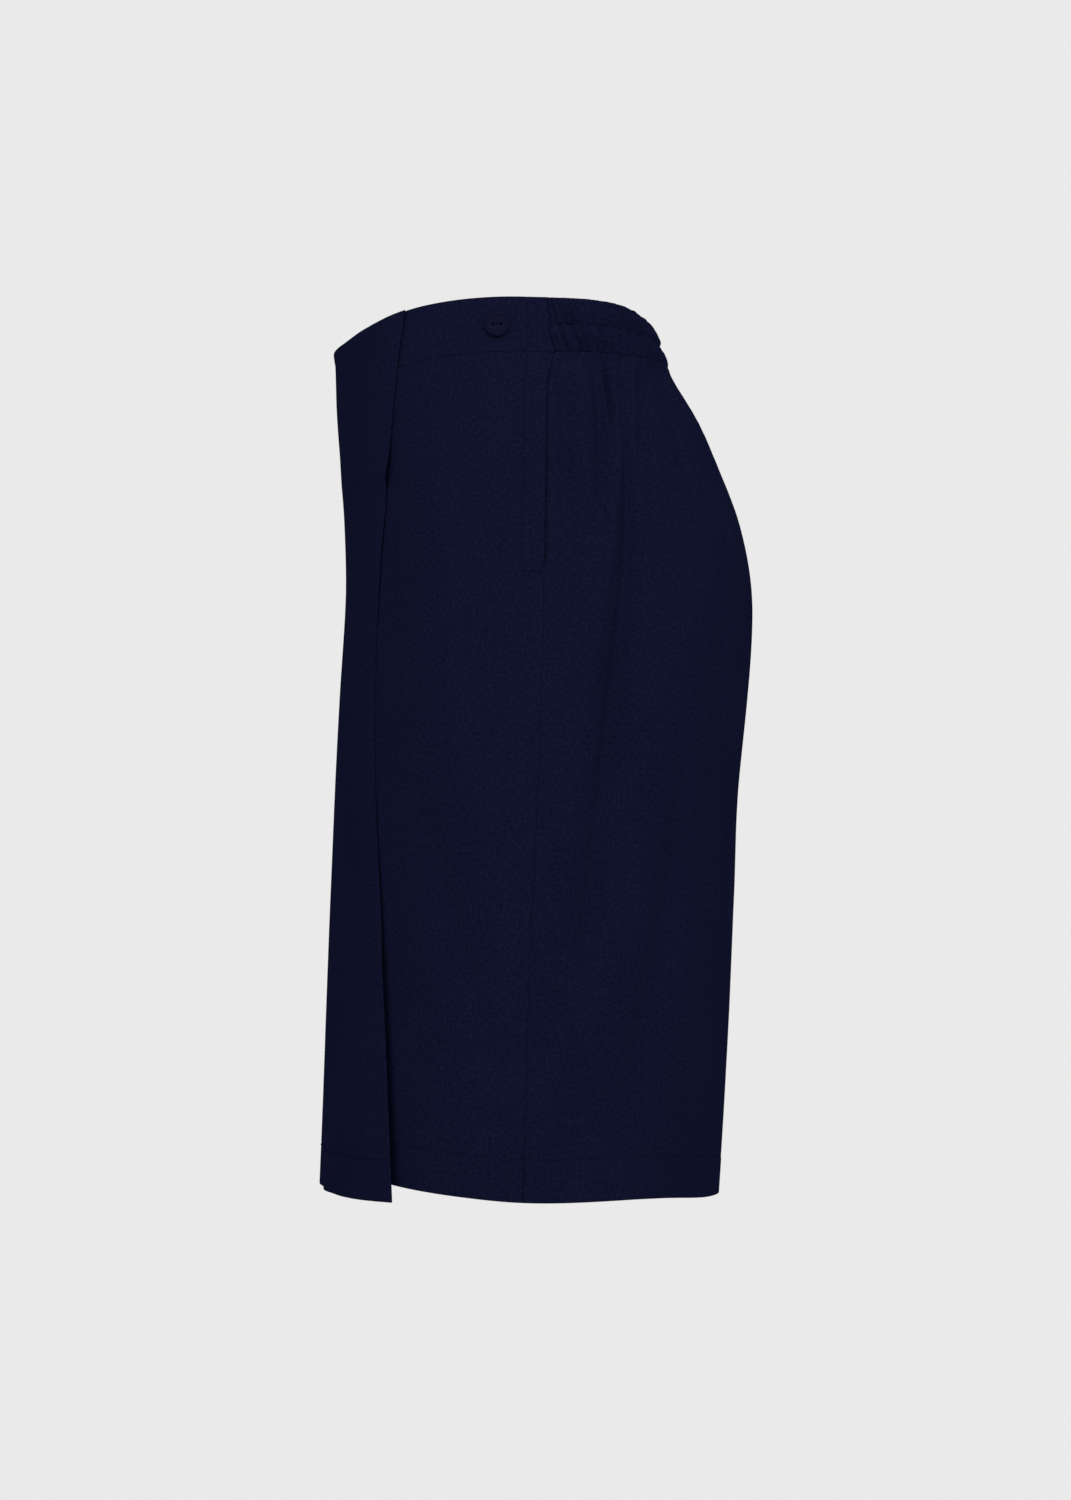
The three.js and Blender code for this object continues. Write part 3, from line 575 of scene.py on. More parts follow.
def raised(form, along, z, push):
    """Points of a form, moved out by push."""
    place = form.at(along, z) + form.facing(along, z) * push[..., None]
    return np.concatenate([place, z[..., None]], -1)


def wall(name, form, along, z, push, depths, side="left"):
    """A shell whose two faces lie under the pushed form by the two depths."""
    outer, inner = (raised(form, along, z, push - depth) for depth in depths)
    return shell(name, outer, inner, np.stack([along, z], -1), side)


# ---------------------------------------------------------------- relief


def fold_push(rows, x, y, z):
    """How far the cloth is pushed out by folds, at places on the body."""
    heading = np.degrees(np.arctan2(y - HEADING_CENTRE_Y, x))
    radius = np.hypot(x, y - HEADING_CENTRE_Y)
    push = np.zeros(z.shape)
    for top, end, head_top, head_mid, head_end, depth, spread, steep in rows:
        down = np.clip((top - z) / (top - end), 0, 1)
        up = 1 - down
        ends = head_top * up * (up - down) + head_end * down * (down - up)
        path = ends + 4 * head_mid * up * down
        away = np.radians(heading - path) * radius
        if top > GATHERED_ABOVE:
            strength = np.cos(math.pi / 2 * down**2) * mix(SEWN_SHARE, 1, smooth((top - z) / SEWN_REACH))
        else:
            strength = np.sin(math.pi * down)
        strength = np.where((z <= top) & (z >= end), strength, 0)
        push -= depth * strength * bell(away, spread * (1 - steep * np.sign(away)))
    return push


def on_the_right(rows):
    """The same folds for the wearer's right, turned a little and of other depths."""
    mean, swing = RIGHT_DEPTH
    turn_rate, depth_rate = RIGHT_RATES
    found = []
    for index, (top, end, head_top, head_mid, head_end, depth, *shape) in enumerate(rows):
        shift = RIGHT_TURN * math.sin(turn_rate * index + 1)
        depth *= mean + swing * math.cos(depth_rate * index)
        found.append((top, end, head_top + shift, head_mid + shift, head_end - shift, depth, *shape))
    return found


def folds_on(side):
    """All of one side's folds and creases."""
    if side == "left":
        return BODY_FOLDS + CREASES
    shallow = [(*row[:5], min(row[5], RIGHT_DEEPEST), *row[6:]) for row in CREASES]
    return on_the_right(BODY_FOLDS + shallow)


DRIFT = 0.22  # the height of each wave of drift
# Each wave has its length over 2 pi across and down, in mm, and its start.
DRIFT_WAVES = [(19, 95, 0.4), (-27, 61, 2.1), (12, -150, 4.0), (41, 33, 5.2)]
RIGHT_DRIFT_START, SKIRT_DRIFT_START = 200, 90  # where the right side and the skirt panel read the waves from


def drift(along, z):
    """Broad, shallow unevenness."""
    return DRIFT * sum(np.sin(along / wide + z / tall + start) for wide, tall, start in DRIFT_WAVES)


def groove(distance, depth):
    return -depth * bell(distance, GROOVE_SPREAD)


CREST_POWER = 0.65  # below 1, it makes a gather's ridge rounder and its valley sharper
# Waves in the gathers' spacing: their sizes in gathers, how many there are round the band, and their starts.
SPACING_WAVES = [(0.315, 2.3, 0.1), (0.175, 7.1, 0.4)]
ROW_WAVE = (0.35, 4.7)  # one more, which moves the two rows of gathers opposite ways


def gather_phase(u, is_lower):
    """Gathers are uneven: their spacing drifts round the band, and differs between its two rows."""
    size, count = ROW_WAVE
    shift = size * np.sin(2 * math.pi * count * u) * np.where(is_lower, -1, 1)
    for size, count, start in SPACING_WAVES:
        shift = shift + size * np.sin(2 * math.pi * (count * u + start))
    fades = np.clip(np.minimum(u, 1 - u) / END_SHARE, 0, 1)
    return 2 * math.pi * (GATHERS * u + shift * fades)


def crest(phase):
    """Rounded ridges with sharp valleys between them, from 0 in a valley to 1 on a ridge."""
    return np.abs(np.sin(phase / 2)) ** CREST_POWER


# ---------------------------------------------------------------- shorts panels

SEAM_ROLL, HEM_ROLL = 1.1, 0.8  # the radii over which cloth turns into a seam and round a hem
HEM_LAYER = 0.7  # how much thicker the turned-up hem makes the cloth
HEM_PUFF = 0.25  # how far it stands out
HEM_STEP = 2.4  # the height over which it does so
HEM_LEAD = 1  # the layer starts this far above the hem's stitches, and the puff this far below them
HEM_GROOVE, PLACKET_GROOVE, PLACKET_END_GROOVE = 0.16, 0.55, 0.9  # the dents along the stitched lines
EVEN_ROWS = 150  # between the top and the hem's stitches
HEM_ROWS = 9  # between them and the hem
CROTCH_CROWDING = 1.6  # how strongly the rows crowd towards the crotch on the inner seam
INNER_CROWDING = 1.5  # how late across a panel they start to
OUTER_COLUMNS = {"front": 100, "back": 186}
PLACKET_COLUMNS = 4  # between the side seam and the placket's stitches
FOLDED_COLUMNS = 24
INSIDE_COLUMNS = 16
WAIST_Z = -33  # the waist seam's height at the side
ELASTIC_LENGTH = 2 * (RING.mark("half", WAIST_Z) - RING.mark("seam", WAIST_Z))
SIDE_HEM_Z = -534.4
PUCKER_DEPTH, PUCKER_LENGTH = 1.9, 22  # the small gathers just under the elastic
PUCKER_LEVEL = 0.7  # the share of a pucker that lies inward of the plain cloth
PUCKER_SWING, PUCKER_RATE, PUCKER_START = 0.5, 0.31, 0.8  # how their lengths vary from one to the next
PUCKER_EASE = 12  # they grow over this distance from the side seam
WAIST_PUFF, WAIST_PUFF_LENGTH = 2.8, 15  # how the gathered cloth swells out just under the elastic
SLIT_DEPTH, SLIT_SPREAD = 1.7, 1.5  # the dent in the back panel along the placket's edge
PAST_PLACKET = 3 * PLACKET_WIDTH  # the columns beside the placket's stitches are even again from here on


def placket_share(z):
    """How far the placket stands open at a height, from 0 to 1."""
    return np.clip(np.minimum(PLACKET_TOP - z, z - PLACKET_END) / PLACKET_EASE, 0, 1)


def placket_line(z):
    """The distance from the side seam to the placket's stitched line."""
    return PLACKET_WIDTH + SEAM_BULGE * bell(z - WAIST_Z, SEAM_BULGE_REACH)


def past_bulge(distance, z):
    """Moves places near the placket's stitched line along with it, at distances from the side seam."""
    near = np.minimum(distance, PAST_PLACKET - distance) / (PLACKET_WIDTH + STITCH_STEPS[0])
    return distance + (placket_line(z) - PLACKET_WIDTH) * np.clip(near, 0, 1)


def shorts_across(part, side):
    sign = -1 if part == "front" else 1
    outer = Stations().near_start(*edge_stations(SEAM_ROLL))
    if part == "front":
        reach = PLACKET_WIDTH + STITCH_STEPS[0]
        outer.near_start(*np.linspace(SEAM_ROLL, reach, PLACKET_COLUMNS + 2)[1:-1])
        outer.near_start(*(PLACKET_WIDTH + step for step in STITCH_STEPS))
        outer.even(OUTER_COLUMNS[part], PLACKET_WIDTH + STITCH_STEPS[-1], 0)
    else:
        outer.even(OUTER_COLUMNS[part], SEAM_ROLL, 0)
    fold = Stations().near_start(0).even(FOLDED_COLUMNS, 0, 0)
    inside = Stations().near_start(0).even(INSIDE_COLUMNS, 0, SEAM_ROLL)
    inside.near_end(*reversed(edge_stations(SEAM_ROLL)))

    def start(z):
        if (part, side) != ("back", "left"):
            return np.full(z.shape, -SEAM_OVERLAP)
        return -SEAM_OVERLAP - UNDERLAP * np.minimum(1, UNDERLAP_RISE * placket_share(z))

    def turn(z):
        return sign * LEGS.mark(part + "_turn", z)

    def end(z):
        return sign * LEGS.mark(part + "_end", z) + SEAM_OVERLAP

    def fold_end(z):
        reach = end(z) - turn(z)
        return turn(z) + np.minimum(FOLD_SHARE * reach, FOLD_LENGTH)

    return Across((outer, start, turn), (fold, turn, fold_end), (inside, fold_end, end))


def panel_rows():
    """Stations down a panel: close together at its top, at its hem's stitches and at its hem."""
    rows = Stations().near_start(*edge_stations(SEAM_ROLL))
    rows.even(EVEN_ROWS, SEAM_ROLL, HEM + STITCH_STEPS[-1])
    rows.near_end(*(HEM - step for step in STITCH_STEPS))
    below = np.linspace(HEM + STITCH_STEPS[0], HEM_ROLL, HEM_ROWS + 2)[1:-1]
    return rows.near_end(*below, *reversed(edge_stations(HEM_ROLL)))


def shorts_push(part, side, along, z):
    """What folds, gathers and sewing do to a shorts panel's outer face."""
    x, y = np.moveaxis(LEGS.at(along, z), -1, 0)
    outside = np.clip((x - 2 * SEAM_HALF_GAP) / FOLD_REACH, 0, 1)
    push = fold_push(folds_on(side), x, y, z)
    push = (push + drift(along if side == "left" else RIGHT_DRIFT_START - along, z)) * outside
    if part == "back":
        u = along / ELASTIC_LENGTH
        phase = gather_phase(u if side == "left" else 1 - u, True)
        length = PUCKER_LENGTH * (1 + PUCKER_SWING * np.sin(PUCKER_RATE * phase + PUCKER_START))
        fades = np.clip(along / PUCKER_EASE, 0, 1)
        below = np.maximum(waist_seam(y) - z, 0)
        push += PUCKER_DEPTH * (crest(phase) - PUCKER_LEVEL) * np.exp(-below / length) * fades
        push += WAIST_PUFF * np.exp(-below / WAIST_PUFF_LENGTH) * fades
    if (part, side) == ("front", "left"):
        push += PLACKET_LIFT * placket_share(z) * np.maximum(0, 1 + along / PLACKET_WIDTH)
        push += groove(along + placket_line(z), PLACKET_GROOVE) * (z > PLACKET_END)
        push += groove(z - PLACKET_END, PLACKET_END_GROOVE) * (along > -PLACKET_WIDTH)
    from_hem = z - shorts_hem(y)
    push += groove(from_hem - HEM, HEM_GROOVE)
    return push + HEM_PUFF * smooth((HEM - HEM_LEAD - from_hem) / HEM_STEP)


def shorts_panel(name, part, side):
    """One of the four panels of the shorts, as a closed thin shell."""
    sign = -1 if part == "front" else 1
    across, rows = shorts_across(part, side), panel_rows()
    has_placket = (part, side) == ("front", "left")
    if has_placket:
        rows.crowd(WAIST_Z - PLACKET_END, STITCH_STEPS, WAIST_Z - SIDE_HEM_Z)

    def distance_at(z):
        return past_bulge(across.at(z), z) if has_placket else across.at(z)

    def place_at(z):
        return LEGS.at(sign * distance_at(z), z)

    column = np.ones((across.count, 1))
    top = settle(lambda y: waist_seam(y) + SEAM_OVERLAP, place_at, WAIST_Z * column)
    hem = settle(shorts_hem, place_at, SHORTS_HEM["z"][-1] * column)
    # Rows crowd together towards the crotch on the inner seam, and stay even on the side seam.
    shares = np.array(rows.shares)
    length = top - hem
    crotch = (top[-1] - CROTCH_Z) / length[-1]
    above = crotch * (1 - np.abs(1 - 2 * shares) ** CROTCH_CROWDING)
    crowded = np.where(shares < 0.5, above, mix(crotch, 1, 2 * shares - 1))
    inward = np.linspace(0, 1, across.count)[:, None] ** INNER_CROWDING
    z = top - mix(shares, crowded, inward) * length - np.array(rows.offsets)

    distance = distance_at(z)
    from_start = distance - across.stretches[0][1](z)
    from_end = across.stretches[2][2](z) - distance
    from_hem = z - hem
    edge = np.maximum(rounding(from_start, SEAM_ROLL), rounding(from_end, SEAM_ROLL))
    edge = np.maximum(edge, rounding(top - z, SEAM_ROLL))
    hem_edge = rounding(from_hem, HEM_ROLL) / 2
    thick = CLOTH + HEM_LAYER * smooth((HEM + HEM_LEAD - from_hem) / HEM_STEP)
    outer_depth = np.maximum(edge, hem_edge) * thick
    inner_depth = np.maximum((1 - hem_edge) * thick, outer_depth)
    push = shorts_push(part, side, sign * distance, z)
    if (part, side) == ("back", "left"):
        push -= SLIT_DEPTH * placket_share(z) * bell(np.maximum(distance, 0), SLIT_SPREAD)
    return wall(name, LEGS, sign * distance, z, push, (outer_depth, inner_depth), side)


# ---------------------------------------------------------------- waistbands

BAND_ROLL = 1.2  # the rounding of a waistband's folded top edge
BAND_HEIGHT = 32.5
BAND_ROWS = 30
GATHER_COLUMNS = 19  # columns of the shell across one gather
FRONT_COLUMNS = 150
LIFT_STEPS = (9, 7, 5, 3.4, 2.1)  # columns near the front band's end, where it lifts
CHANNEL = 0.47  # the stitched line between the two channels of elastic, as a share of the band's height
# The elastic band's outer face, by share of its height: how far it swells, and how deep its gathers are.
ELASTIC = columns(
    "share puff wave",
    [
        (0, -0.3, 1.2),
        (0.05, -0.3, 2.2),
        (0.14, -0.5, 3.6),
        (0.3, -0.7, 4.4),
        (0.42, -0.9, 3.2),
        (0.47, -1.0, 2.2),
        (0.52, -0.9, 3.4),
        (0.62, -0.7, 4.8),
        (0.78, -0.7, 5.0),
        (0.92, -0.8, 3.8),
        (1, -0.8, 2.0),
    ],
)
BAND_LIFT, BAND_LIFT_REACH = 0.8, 7  # how far the front band's end stands over the elastic one
END_DENT, END_DENT_SHARE = 3.4, 0.0055  # the dent in the elastic band at its ends, by share of its length
BAND_TUCK, TUCK_DEPTH, TUCK_REACH = 1.7, 0.35, 3.5  # how its ends run on, and in, under the front band's
FINE_GATHERS = 1.9  # small gathers to each large one
FINE_SHARE = 0.62  # of the gathers' depth that is theirs
FINE_DRIFT = (1.1, 0.29, 0.7)  # size, rate and start of the wave in their spacing
# How the gathers' depth varies from one to the next: size, rate and start of each wave about its mean.
DEPTH_MEAN, DEPTH_WAVES = 0.75, [(0.25, 0.37, 1.3), (0.2, 0.83, 0)]


def band_height(along_at, share, shape):
    """The height at a share of the waistband's height. along_at gives the distance round it by height."""

    def place_at(z):
        return RING.at(along_at(z), z)

    top = settle(waist_edge, place_at, np.zeros(shape))
    seam = settle(waist_seam, place_at, np.full(shape, float(WAIST_Z)))
    return mix(top, seam - SEAM_OVERLAP, share)


def band_shares():
    """Shares of a waistband's height for its rows, close together at its two edges and its channel."""
    even = np.linspace(BAND_ROLL, BAND_HEIGHT / 2, BAND_ROWS // 2)[1:]
    upper = np.concatenate([edge_stations(BAND_ROLL), even])
    channel = CHANNEL * BAND_HEIGHT + np.array(STITCH_STEPS)
    return np.unique(np.round(np.concatenate([upper, BAND_HEIGHT - upper, channel]), 3)) / BAND_HEIGHT


def band(name, along_at, share, relief, tuck=0):
    """A waistband: a doubled wall with a folded top edge. relief gives its outer face's place and push.

    tuck is how far the inner face goes in at the band's ends.
    """
    z = band_height(along_at, share, share.shape)
    plain = along_at(z)
    along, push = relief(plain, z)
    from_end = np.minimum(plain - plain[:1], plain[-1:] - plain)
    from_edge = np.minimum(share, 1 - share) * BAND_HEIGHT
    edge = np.maximum(rounding(from_edge, BAND_ROLL), rounding(from_end, SEAM_ROLL))
    outer = raised(RING, along, z, push - edge * BAND_WALL / 2)
    inner_depth = BAND_WALL * (1 - edge / 2) + tuck * smooth(1 - from_end / TUCK_REACH)
    inner = raised(RING, along, z, -inner_depth)
    return shell(name, outer, inner, np.stack([along, z], -1))


def front_relief(along, z):
    """The front band stands a little over the elastic one at its end, and is topstitched like the placket."""
    to_end = RING.mark("seam", z) - along
    push = BAND_LIFT * smooth(1 - to_end / BAND_LIFT_REACH)
    return along, push + groove(to_end - placket_line(z), PLACKET_GROOVE)


def front_band(name):
    """The flat front waistband, from one side seam round the front to the other."""
    across = Stations().near_start(*edge_stations(SEAM_ROLL))
    across.even(FRONT_COLUMNS, SEAM_ROLL, PLACKET_WIDTH + STITCH_STEPS[-1])
    across.near_end(*(PLACKET_WIDTH - step for step in STITCH_STEPS), *LIFT_STEPS)
    across.near_end(*reversed(edge_stations(SEAM_ROLL)))
    shares, offsets = np.array(across.shares)[:, None], np.array(across.offsets)[:, None]

    def along_at(z):
        reach = RING.mark("seam", z) + SEAM_OVERLAP
        along = offsets - reach + shares * 2 * reach
        return reach - past_bulge(reach - along, z)

    share = np.broadcast_to(band_shares(), (len(shares), len(band_shares())))
    return band(name, along_at, share, front_relief)


def elastic_relief(u, share):
    """The outer face of the elastic band at a share of the way round it and of its height."""
    from_end = np.minimum(u, 1 - u)
    at_end = np.clip(from_end / END_SHARE, 0, 1)
    lean = GATHER_LEAN * share * np.maximum(0, 1 - from_end / LEAN_SHARE) * at_end
    phase = gather_phase(u, share > CHANNEL)
    uneven = DEPTH_MEAN + sum(size * np.sin(rate * phase + start) for size, rate, start in DEPTH_WAVES)
    size, rate, start = FINE_DRIFT
    fine = crest(FINE_GATHERS * phase + size * np.sin(rate * phase + start))
    wave = follow(ELASTIC, "wave", share) * mix(crest(phase), fine, FINE_SHARE) * uneven
    push = follow(ELASTIC, "puff", share) + wave
    dent = END_DENT * bell(from_end, END_DENT_SHARE)
    return lean * np.where(u < 0.5, 1, -1), push * at_end - dent


def elastic_along(u, z):
    """The distance round the garment at a share u of the elastic band's length."""
    start = RING.mark("seam", z) - BAND_TUCK
    return mix(start, 2 * RING.mark("half", z) - start, u)


def elastic_band(name):
    """The gathered back waistband, which runs on a little under the front band at both ends."""
    steps = np.linspace(0, 1, GATHERS * GATHER_COLUMNS + 1)
    u, share = np.meshgrid(steps, band_shares(), indexing="ij")

    def relief(along, z):
        lean, push = elastic_relief(u, share)
        return along + lean, push

    return band(name, lambda z: elastic_along(u, z), share, relief, TUCK_DEPTH)


# ---------------------------------------------------------------- skirt panel

SKIRT_ROLL = 0.8  # the rounding of its free edge and its top
SKIRT_COLUMNS = 146
SKIRT_SEAM_STEPS = (2.2, 3.6, 5.2, 7, 9, 11)  # columns from the side seam that holds it
SKIRT_EDGE_STEPS = (9.5, 7.5, 6.5, 6.0, 5.5, 4.5, 3.0, 1.8)  # and from its free edge
INLAND = 40  # its folds have their full depth this far from both
SEAM_DIVE = 12  # the panel comes down onto the shorts this near the side seam that holds it
PRESSED_END, PRESSED_EASE = -400, 30  # its free edge is pressed flat down to here
LOOSE_TOP, LOOSE_END, LOOSE_EASE = -82, -108, (12, 3)  # but stands off a little between these heights
PRESSED_DEPTHS = (0.4, 0.9)  # above and below them


def skirt_push(along, z):
    """How far the skirt panel's outer face stands off the shorts' outer face."""
    edge, seam = RING.mark("edge", z), RING.mark("seam", z)
    left = along > 0
    share = np.where(left, along / edge, -along / seam)
    side_clear = np.where(left, follow(SKIRT, "edge", z), follow(SKIRT, "seam", z))
    push = mix(follow(SKIRT, "front", z), side_clear, smooth(share)) + CAD_WALL
    x, y = np.moveaxis(RING.at(along, z), -1, 0)
    inland = smooth(np.minimum(edge - along, along + seam) / INLAND)
    push += (fold_push(SKIRT_FOLDS, x, y, z) + drift(along + SKIRT_DRIFT_START, z)) * inland
    loose = smooth((LOOSE_TOP - z) / LOOSE_EASE[0]) * smooth((z - LOOSE_END) / LOOSE_EASE[1] + 1)
    pressed = smooth((z - PRESSED_END) / PRESSED_EASE) * (1 - loose)
    pressed *= np.where(z > LOOSE_END, *PRESSED_DEPTHS)
    push -= smooth(1 - (edge - along) / FACED_EDGE) * pressed
    return mix(CLOTH, push, smooth((along + seam) / SEAM_DIVE))


def skirt_hem(along, front_z, edge, seam):
    """The height of the skirt panel's hem at a distance from the middle front."""
    reach = np.where(along > 0, edge, -seam)
    end_z = np.where(along > 0, SKIRT_HEM["edge"], SKIRT_HEM["seam"])
    rise = np.hypot(along / reach, SKIRT_HEM_ROUND) - SKIRT_HEM_ROUND
    return mix(front_z, end_z, rise / (math.hypot(1, SKIRT_HEM_ROUND) - SKIRT_HEM_ROUND))


def skirt_panel(name):
    """The skirt panel, from the right side seam round the front to its free edge at the left."""
    across = Stations().near_start(*edge_stations(SEAM_ROLL), *SKIRT_SEAM_STEPS)
    across.even(SKIRT_COLUMNS, SKIRT_SEAM_STEPS[-1], FACED_EDGE)
    across.near_end(*SKIRT_EDGE_STEPS, *reversed(edge_stations(SKIRT_ROLL)))

    def start(z):
        return 2 * SEAM_HALF_GAP - RING.mark("seam", z)

    def end(z):
        return RING.mark("edge", z)

    across = Across((across, start, end))
    top = settle(waist_edge, lambda z: RING.at(across.at(z), z), np.zeros((across.count, 1)))
    front_z = np.full((across.count, 1), float(SKIRT_HEM["front"]))
    hem = skirt_hem(across.at(front_z), front_z, end(front_z), -start(front_z))
    rows = panel_rows()
    z = top - np.array(rows.shares) * (top - hem) - np.array(rows.offsets)
    along = across.at(z)
    from_hem, from_edge = z - hem, end(z) - along
    border = np.maximum(rounding(from_edge, SKIRT_ROLL), rounding(from_hem, HEM_ROLL))
    border = np.maximum(border, rounding(top - z, SKIRT_ROLL)) / 2
    seam_edge = rounding(along - start(z), SEAM_ROLL)
    from_single = np.maximum(HEM + HEM_LEAD - from_hem, FACED_EDGE - from_edge)
    thick = CLOTH + HEM_LAYER * smooth(from_single / HEM_STEP)
    outer_depth = np.maximum(border, seam_edge) * thick
    inner_depth = np.maximum((1 - border) * thick, outer_depth)
    push = skirt_push(along, z) + groove(from_hem - HEM, HEM_GROOVE)
    return wall(name, RING, along, z, push, (outer_depth, inner_depth))


# ---------------------------------------------------------------- stitches

SLOPE_STEP = 0.01  # a surface's slope at a stitched line is read over this share of the line's steps
STITCH = 2.9  # from one stitch to the next
STITCH_SHARE = 0.8  # of it that the thread shows
THREAD_RADIUS = 0.2
THREAD_SIDES = 6
# How a stitch comes up out of the cloth, lies on it and goes down again.
STITCH_RINGS = columns(
    "share height radius",
    [(0, -0.34, 0.5), (0.1, 0.02, 0.9), (0.5, 0.14, 1), (0.9, 0.02, 0.9), (1, -0.34, 0.5)],
)
WELD = 1e-6  # metres within which a tube's closing points join


def tubes(name, centres, ups, radii, side="left"):
    """Many short closed tubes as one mesh, from their rings' centres and ups (tubes, rings, 3)."""
    ahead = np.gradient(centres, axis=1)
    ahead /= np.linalg.norm(ahead, axis=-1, keepdims=True)
    across = np.cross(ahead, ups)
    across /= np.linalg.norm(across, axis=-1, keepdims=True)
    up = np.cross(across, ahead)
    turn = np.linspace(0, 2 * math.pi, THREAD_SIDES, endpoint=False)[:, None]
    around = np.cos(turn) * across[..., None, :] + np.sin(turn) * up[..., None, :]
    rings = centres[..., None, :] + around * np.reshape(radii, (-1, 1, 1))
    # The first and last ring close on their own centres.
    caps = [np.repeat(centres[:, [k], None], THREAD_SIDES, 2) for k in (0, -1)]
    rings = np.concatenate([caps[0], rings, caps[1]], 1)
    index = np.arange(rings[..., 0].size).reshape(rings.shape[:3])
    index = np.concatenate([index, index[..., :1]], 2)
    faces = np.concatenate([grid_faces(tube) for tube in index])
    if side == "right":
        faces = faces[:, ::-1]
    thing = mesh_object(name, rings.reshape(-1, 3) * MIRROR[side], faces)
    welded = bmesh.new()
    welded.from_mesh(thing.data)
    bmesh.ops.remove_doubles(welded, verts=welded.verts, dist=WELD)
    welded.to_mesh(thing.data)
    welded.free()
    return thing


def stitches(name, skin, u, v, outward=1, side="left"):
    """Stitches on a surface. skin gives its points by two coordinates, and u and v are the line's places."""
    points = skin(u, v)
    step = SLOPE_STEP * (np.ptp(u) + np.ptp(v)) / len(u)
    across_u = skin(u + step, v) - skin(u - step, v)
    across_v = skin(u, v + step) - skin(u, v - step)
    ups = outward * np.cross(across_u, across_v)
    ups /= np.linalg.norm(ups, axis=-1, keepdims=True)
    distance = np.concatenate([[0], np.cumsum(np.linalg.norm(np.diff(points, axis=0), axis=-1))])
    count = max(1, round(distance[-1] / STITCH))
    share, height, radius = STITCH_RINGS.values()
    pitch = distance[-1] / count
    places = (np.arange(count)[:, None] + (1 - STITCH_SHARE) / 2 + STITCH_SHARE * share) * pitch
    centres = np.stack([np.interp(places, distance, points[:, k]) for k in range(3)], -1)
    ups = np.stack([np.interp(places, distance, ups[:, k]) for k in range(3)], -1)
    return tubes(name, centres + ups * height[:, None], ups, THREAD_RADIUS * radius, side)


# ---------------------------------------------------------------- button

BUTTON = {"radius": 7.6, "thickness": 3.0, "y": 3, "z": -16.7, "seat": 0.45}
BUTTON_SIDES = 96
HOLE_SPREAD, HOLE_RADIUS, HOLE_SIDES = 4.8, 0.9, 32
HOLE_BEVEL, HOLE_BEVEL_STEPS, SHARP_ANGLE = 0.25, 3, math.radians(60)
# The button's half section, from the middle of its back round its rim to the middle of its well.
BUTTON_BACK = [(0, 0), (6.2, 0)]
BUTTON_RIM = [(6.9, 0.25), (7.4, 0.8), (7.6, 1.5), (7.58, 2.3), (7.4, 2.75), (7.05, 2.98), (6.6, 3.0)]
BUTTON_WELL = [(6.2, 2.88), (5.85, 2.55), (5.5, 2.25), (5.0, 2.12), (4.0, 2.05), (0, 2.0)]
BUTTON_THREADS = 4
BUTTON_THREAD_SPACE = 0.34
# The thread's way up through one hole, over the well and down the other, by share of half the holes' spread.
THREAD_ALONG = np.array([-1, -1, -0.8, 0, 0.8, 1, 1])
THREAD_HEIGHT = np.array([0.2, 1.9, 2.25, 2.4, 2.25, 1.9, 0.2])
THREAD_PINCH = 0.4  # the share by which the strands come together at the holes
THREAD_SAG = 0.12  # how much lower each strand lies than the next one inward
THREAD_LEAN = 0.6  # how far the rings of the thread lean outward over the holes


def button_frame():
    """The button's place and turn on the waistband: its back's middle, with its holes along the band."""

    def across(z):
        half = half_plan(z)
        return np.interp(BUTTON["y"], half[:, 1], half[:, 0])

    reach = BUTTON["radius"] / 2
    z = BUTTON["z"]
    tilt = math.atan2(across(z - reach) - across(z + reach), 2 * reach)
    outward = Vector((math.cos(tilt), 0, math.sin(tilt)))
    up = Vector((-outward.z, 0, outward.x))
    middle = Vector((across(z), BUTTON["y"], z)) + outward * BUTTON["seat"]
    turned = Matrix((Vector((0, 1, 0)), up, outward)).transposed().to_4x4()
    return Matrix.Translation(middle * MM) @ turned


def lathe(name, profile, sides):
    """A closed turned solid from a half section that starts and ends on the axis."""
    turn = np.linspace(0, 2 * math.pi, sides, endpoint=False)
    ring = np.stack([np.cos(turn), np.sin(turn)], -1)
    body = bmesh.new()
    rows = []
    for radius, height in profile:
        places = ring * radius if radius else [(0, 0)]
        rows.append([body.verts.new((x * MM, y * MM, height * MM)) for x, y in places])
    for low, high in zip(rows[:-1], rows[1:]):
        for k in range(sides):
            n = (k + 1) % sides
            corners = [low[k % len(low)], low[n % len(low)], high[n % len(high)], high[k % len(high)]]
            body.faces.new(list(dict.fromkeys(corners)))
    bmesh.ops.recalc_face_normals(body, faces=body.faces)
    mesh = bpy.data.meshes.new(name)
    body.to_mesh(mesh)
    body.free()
    return new_object(name, mesh)


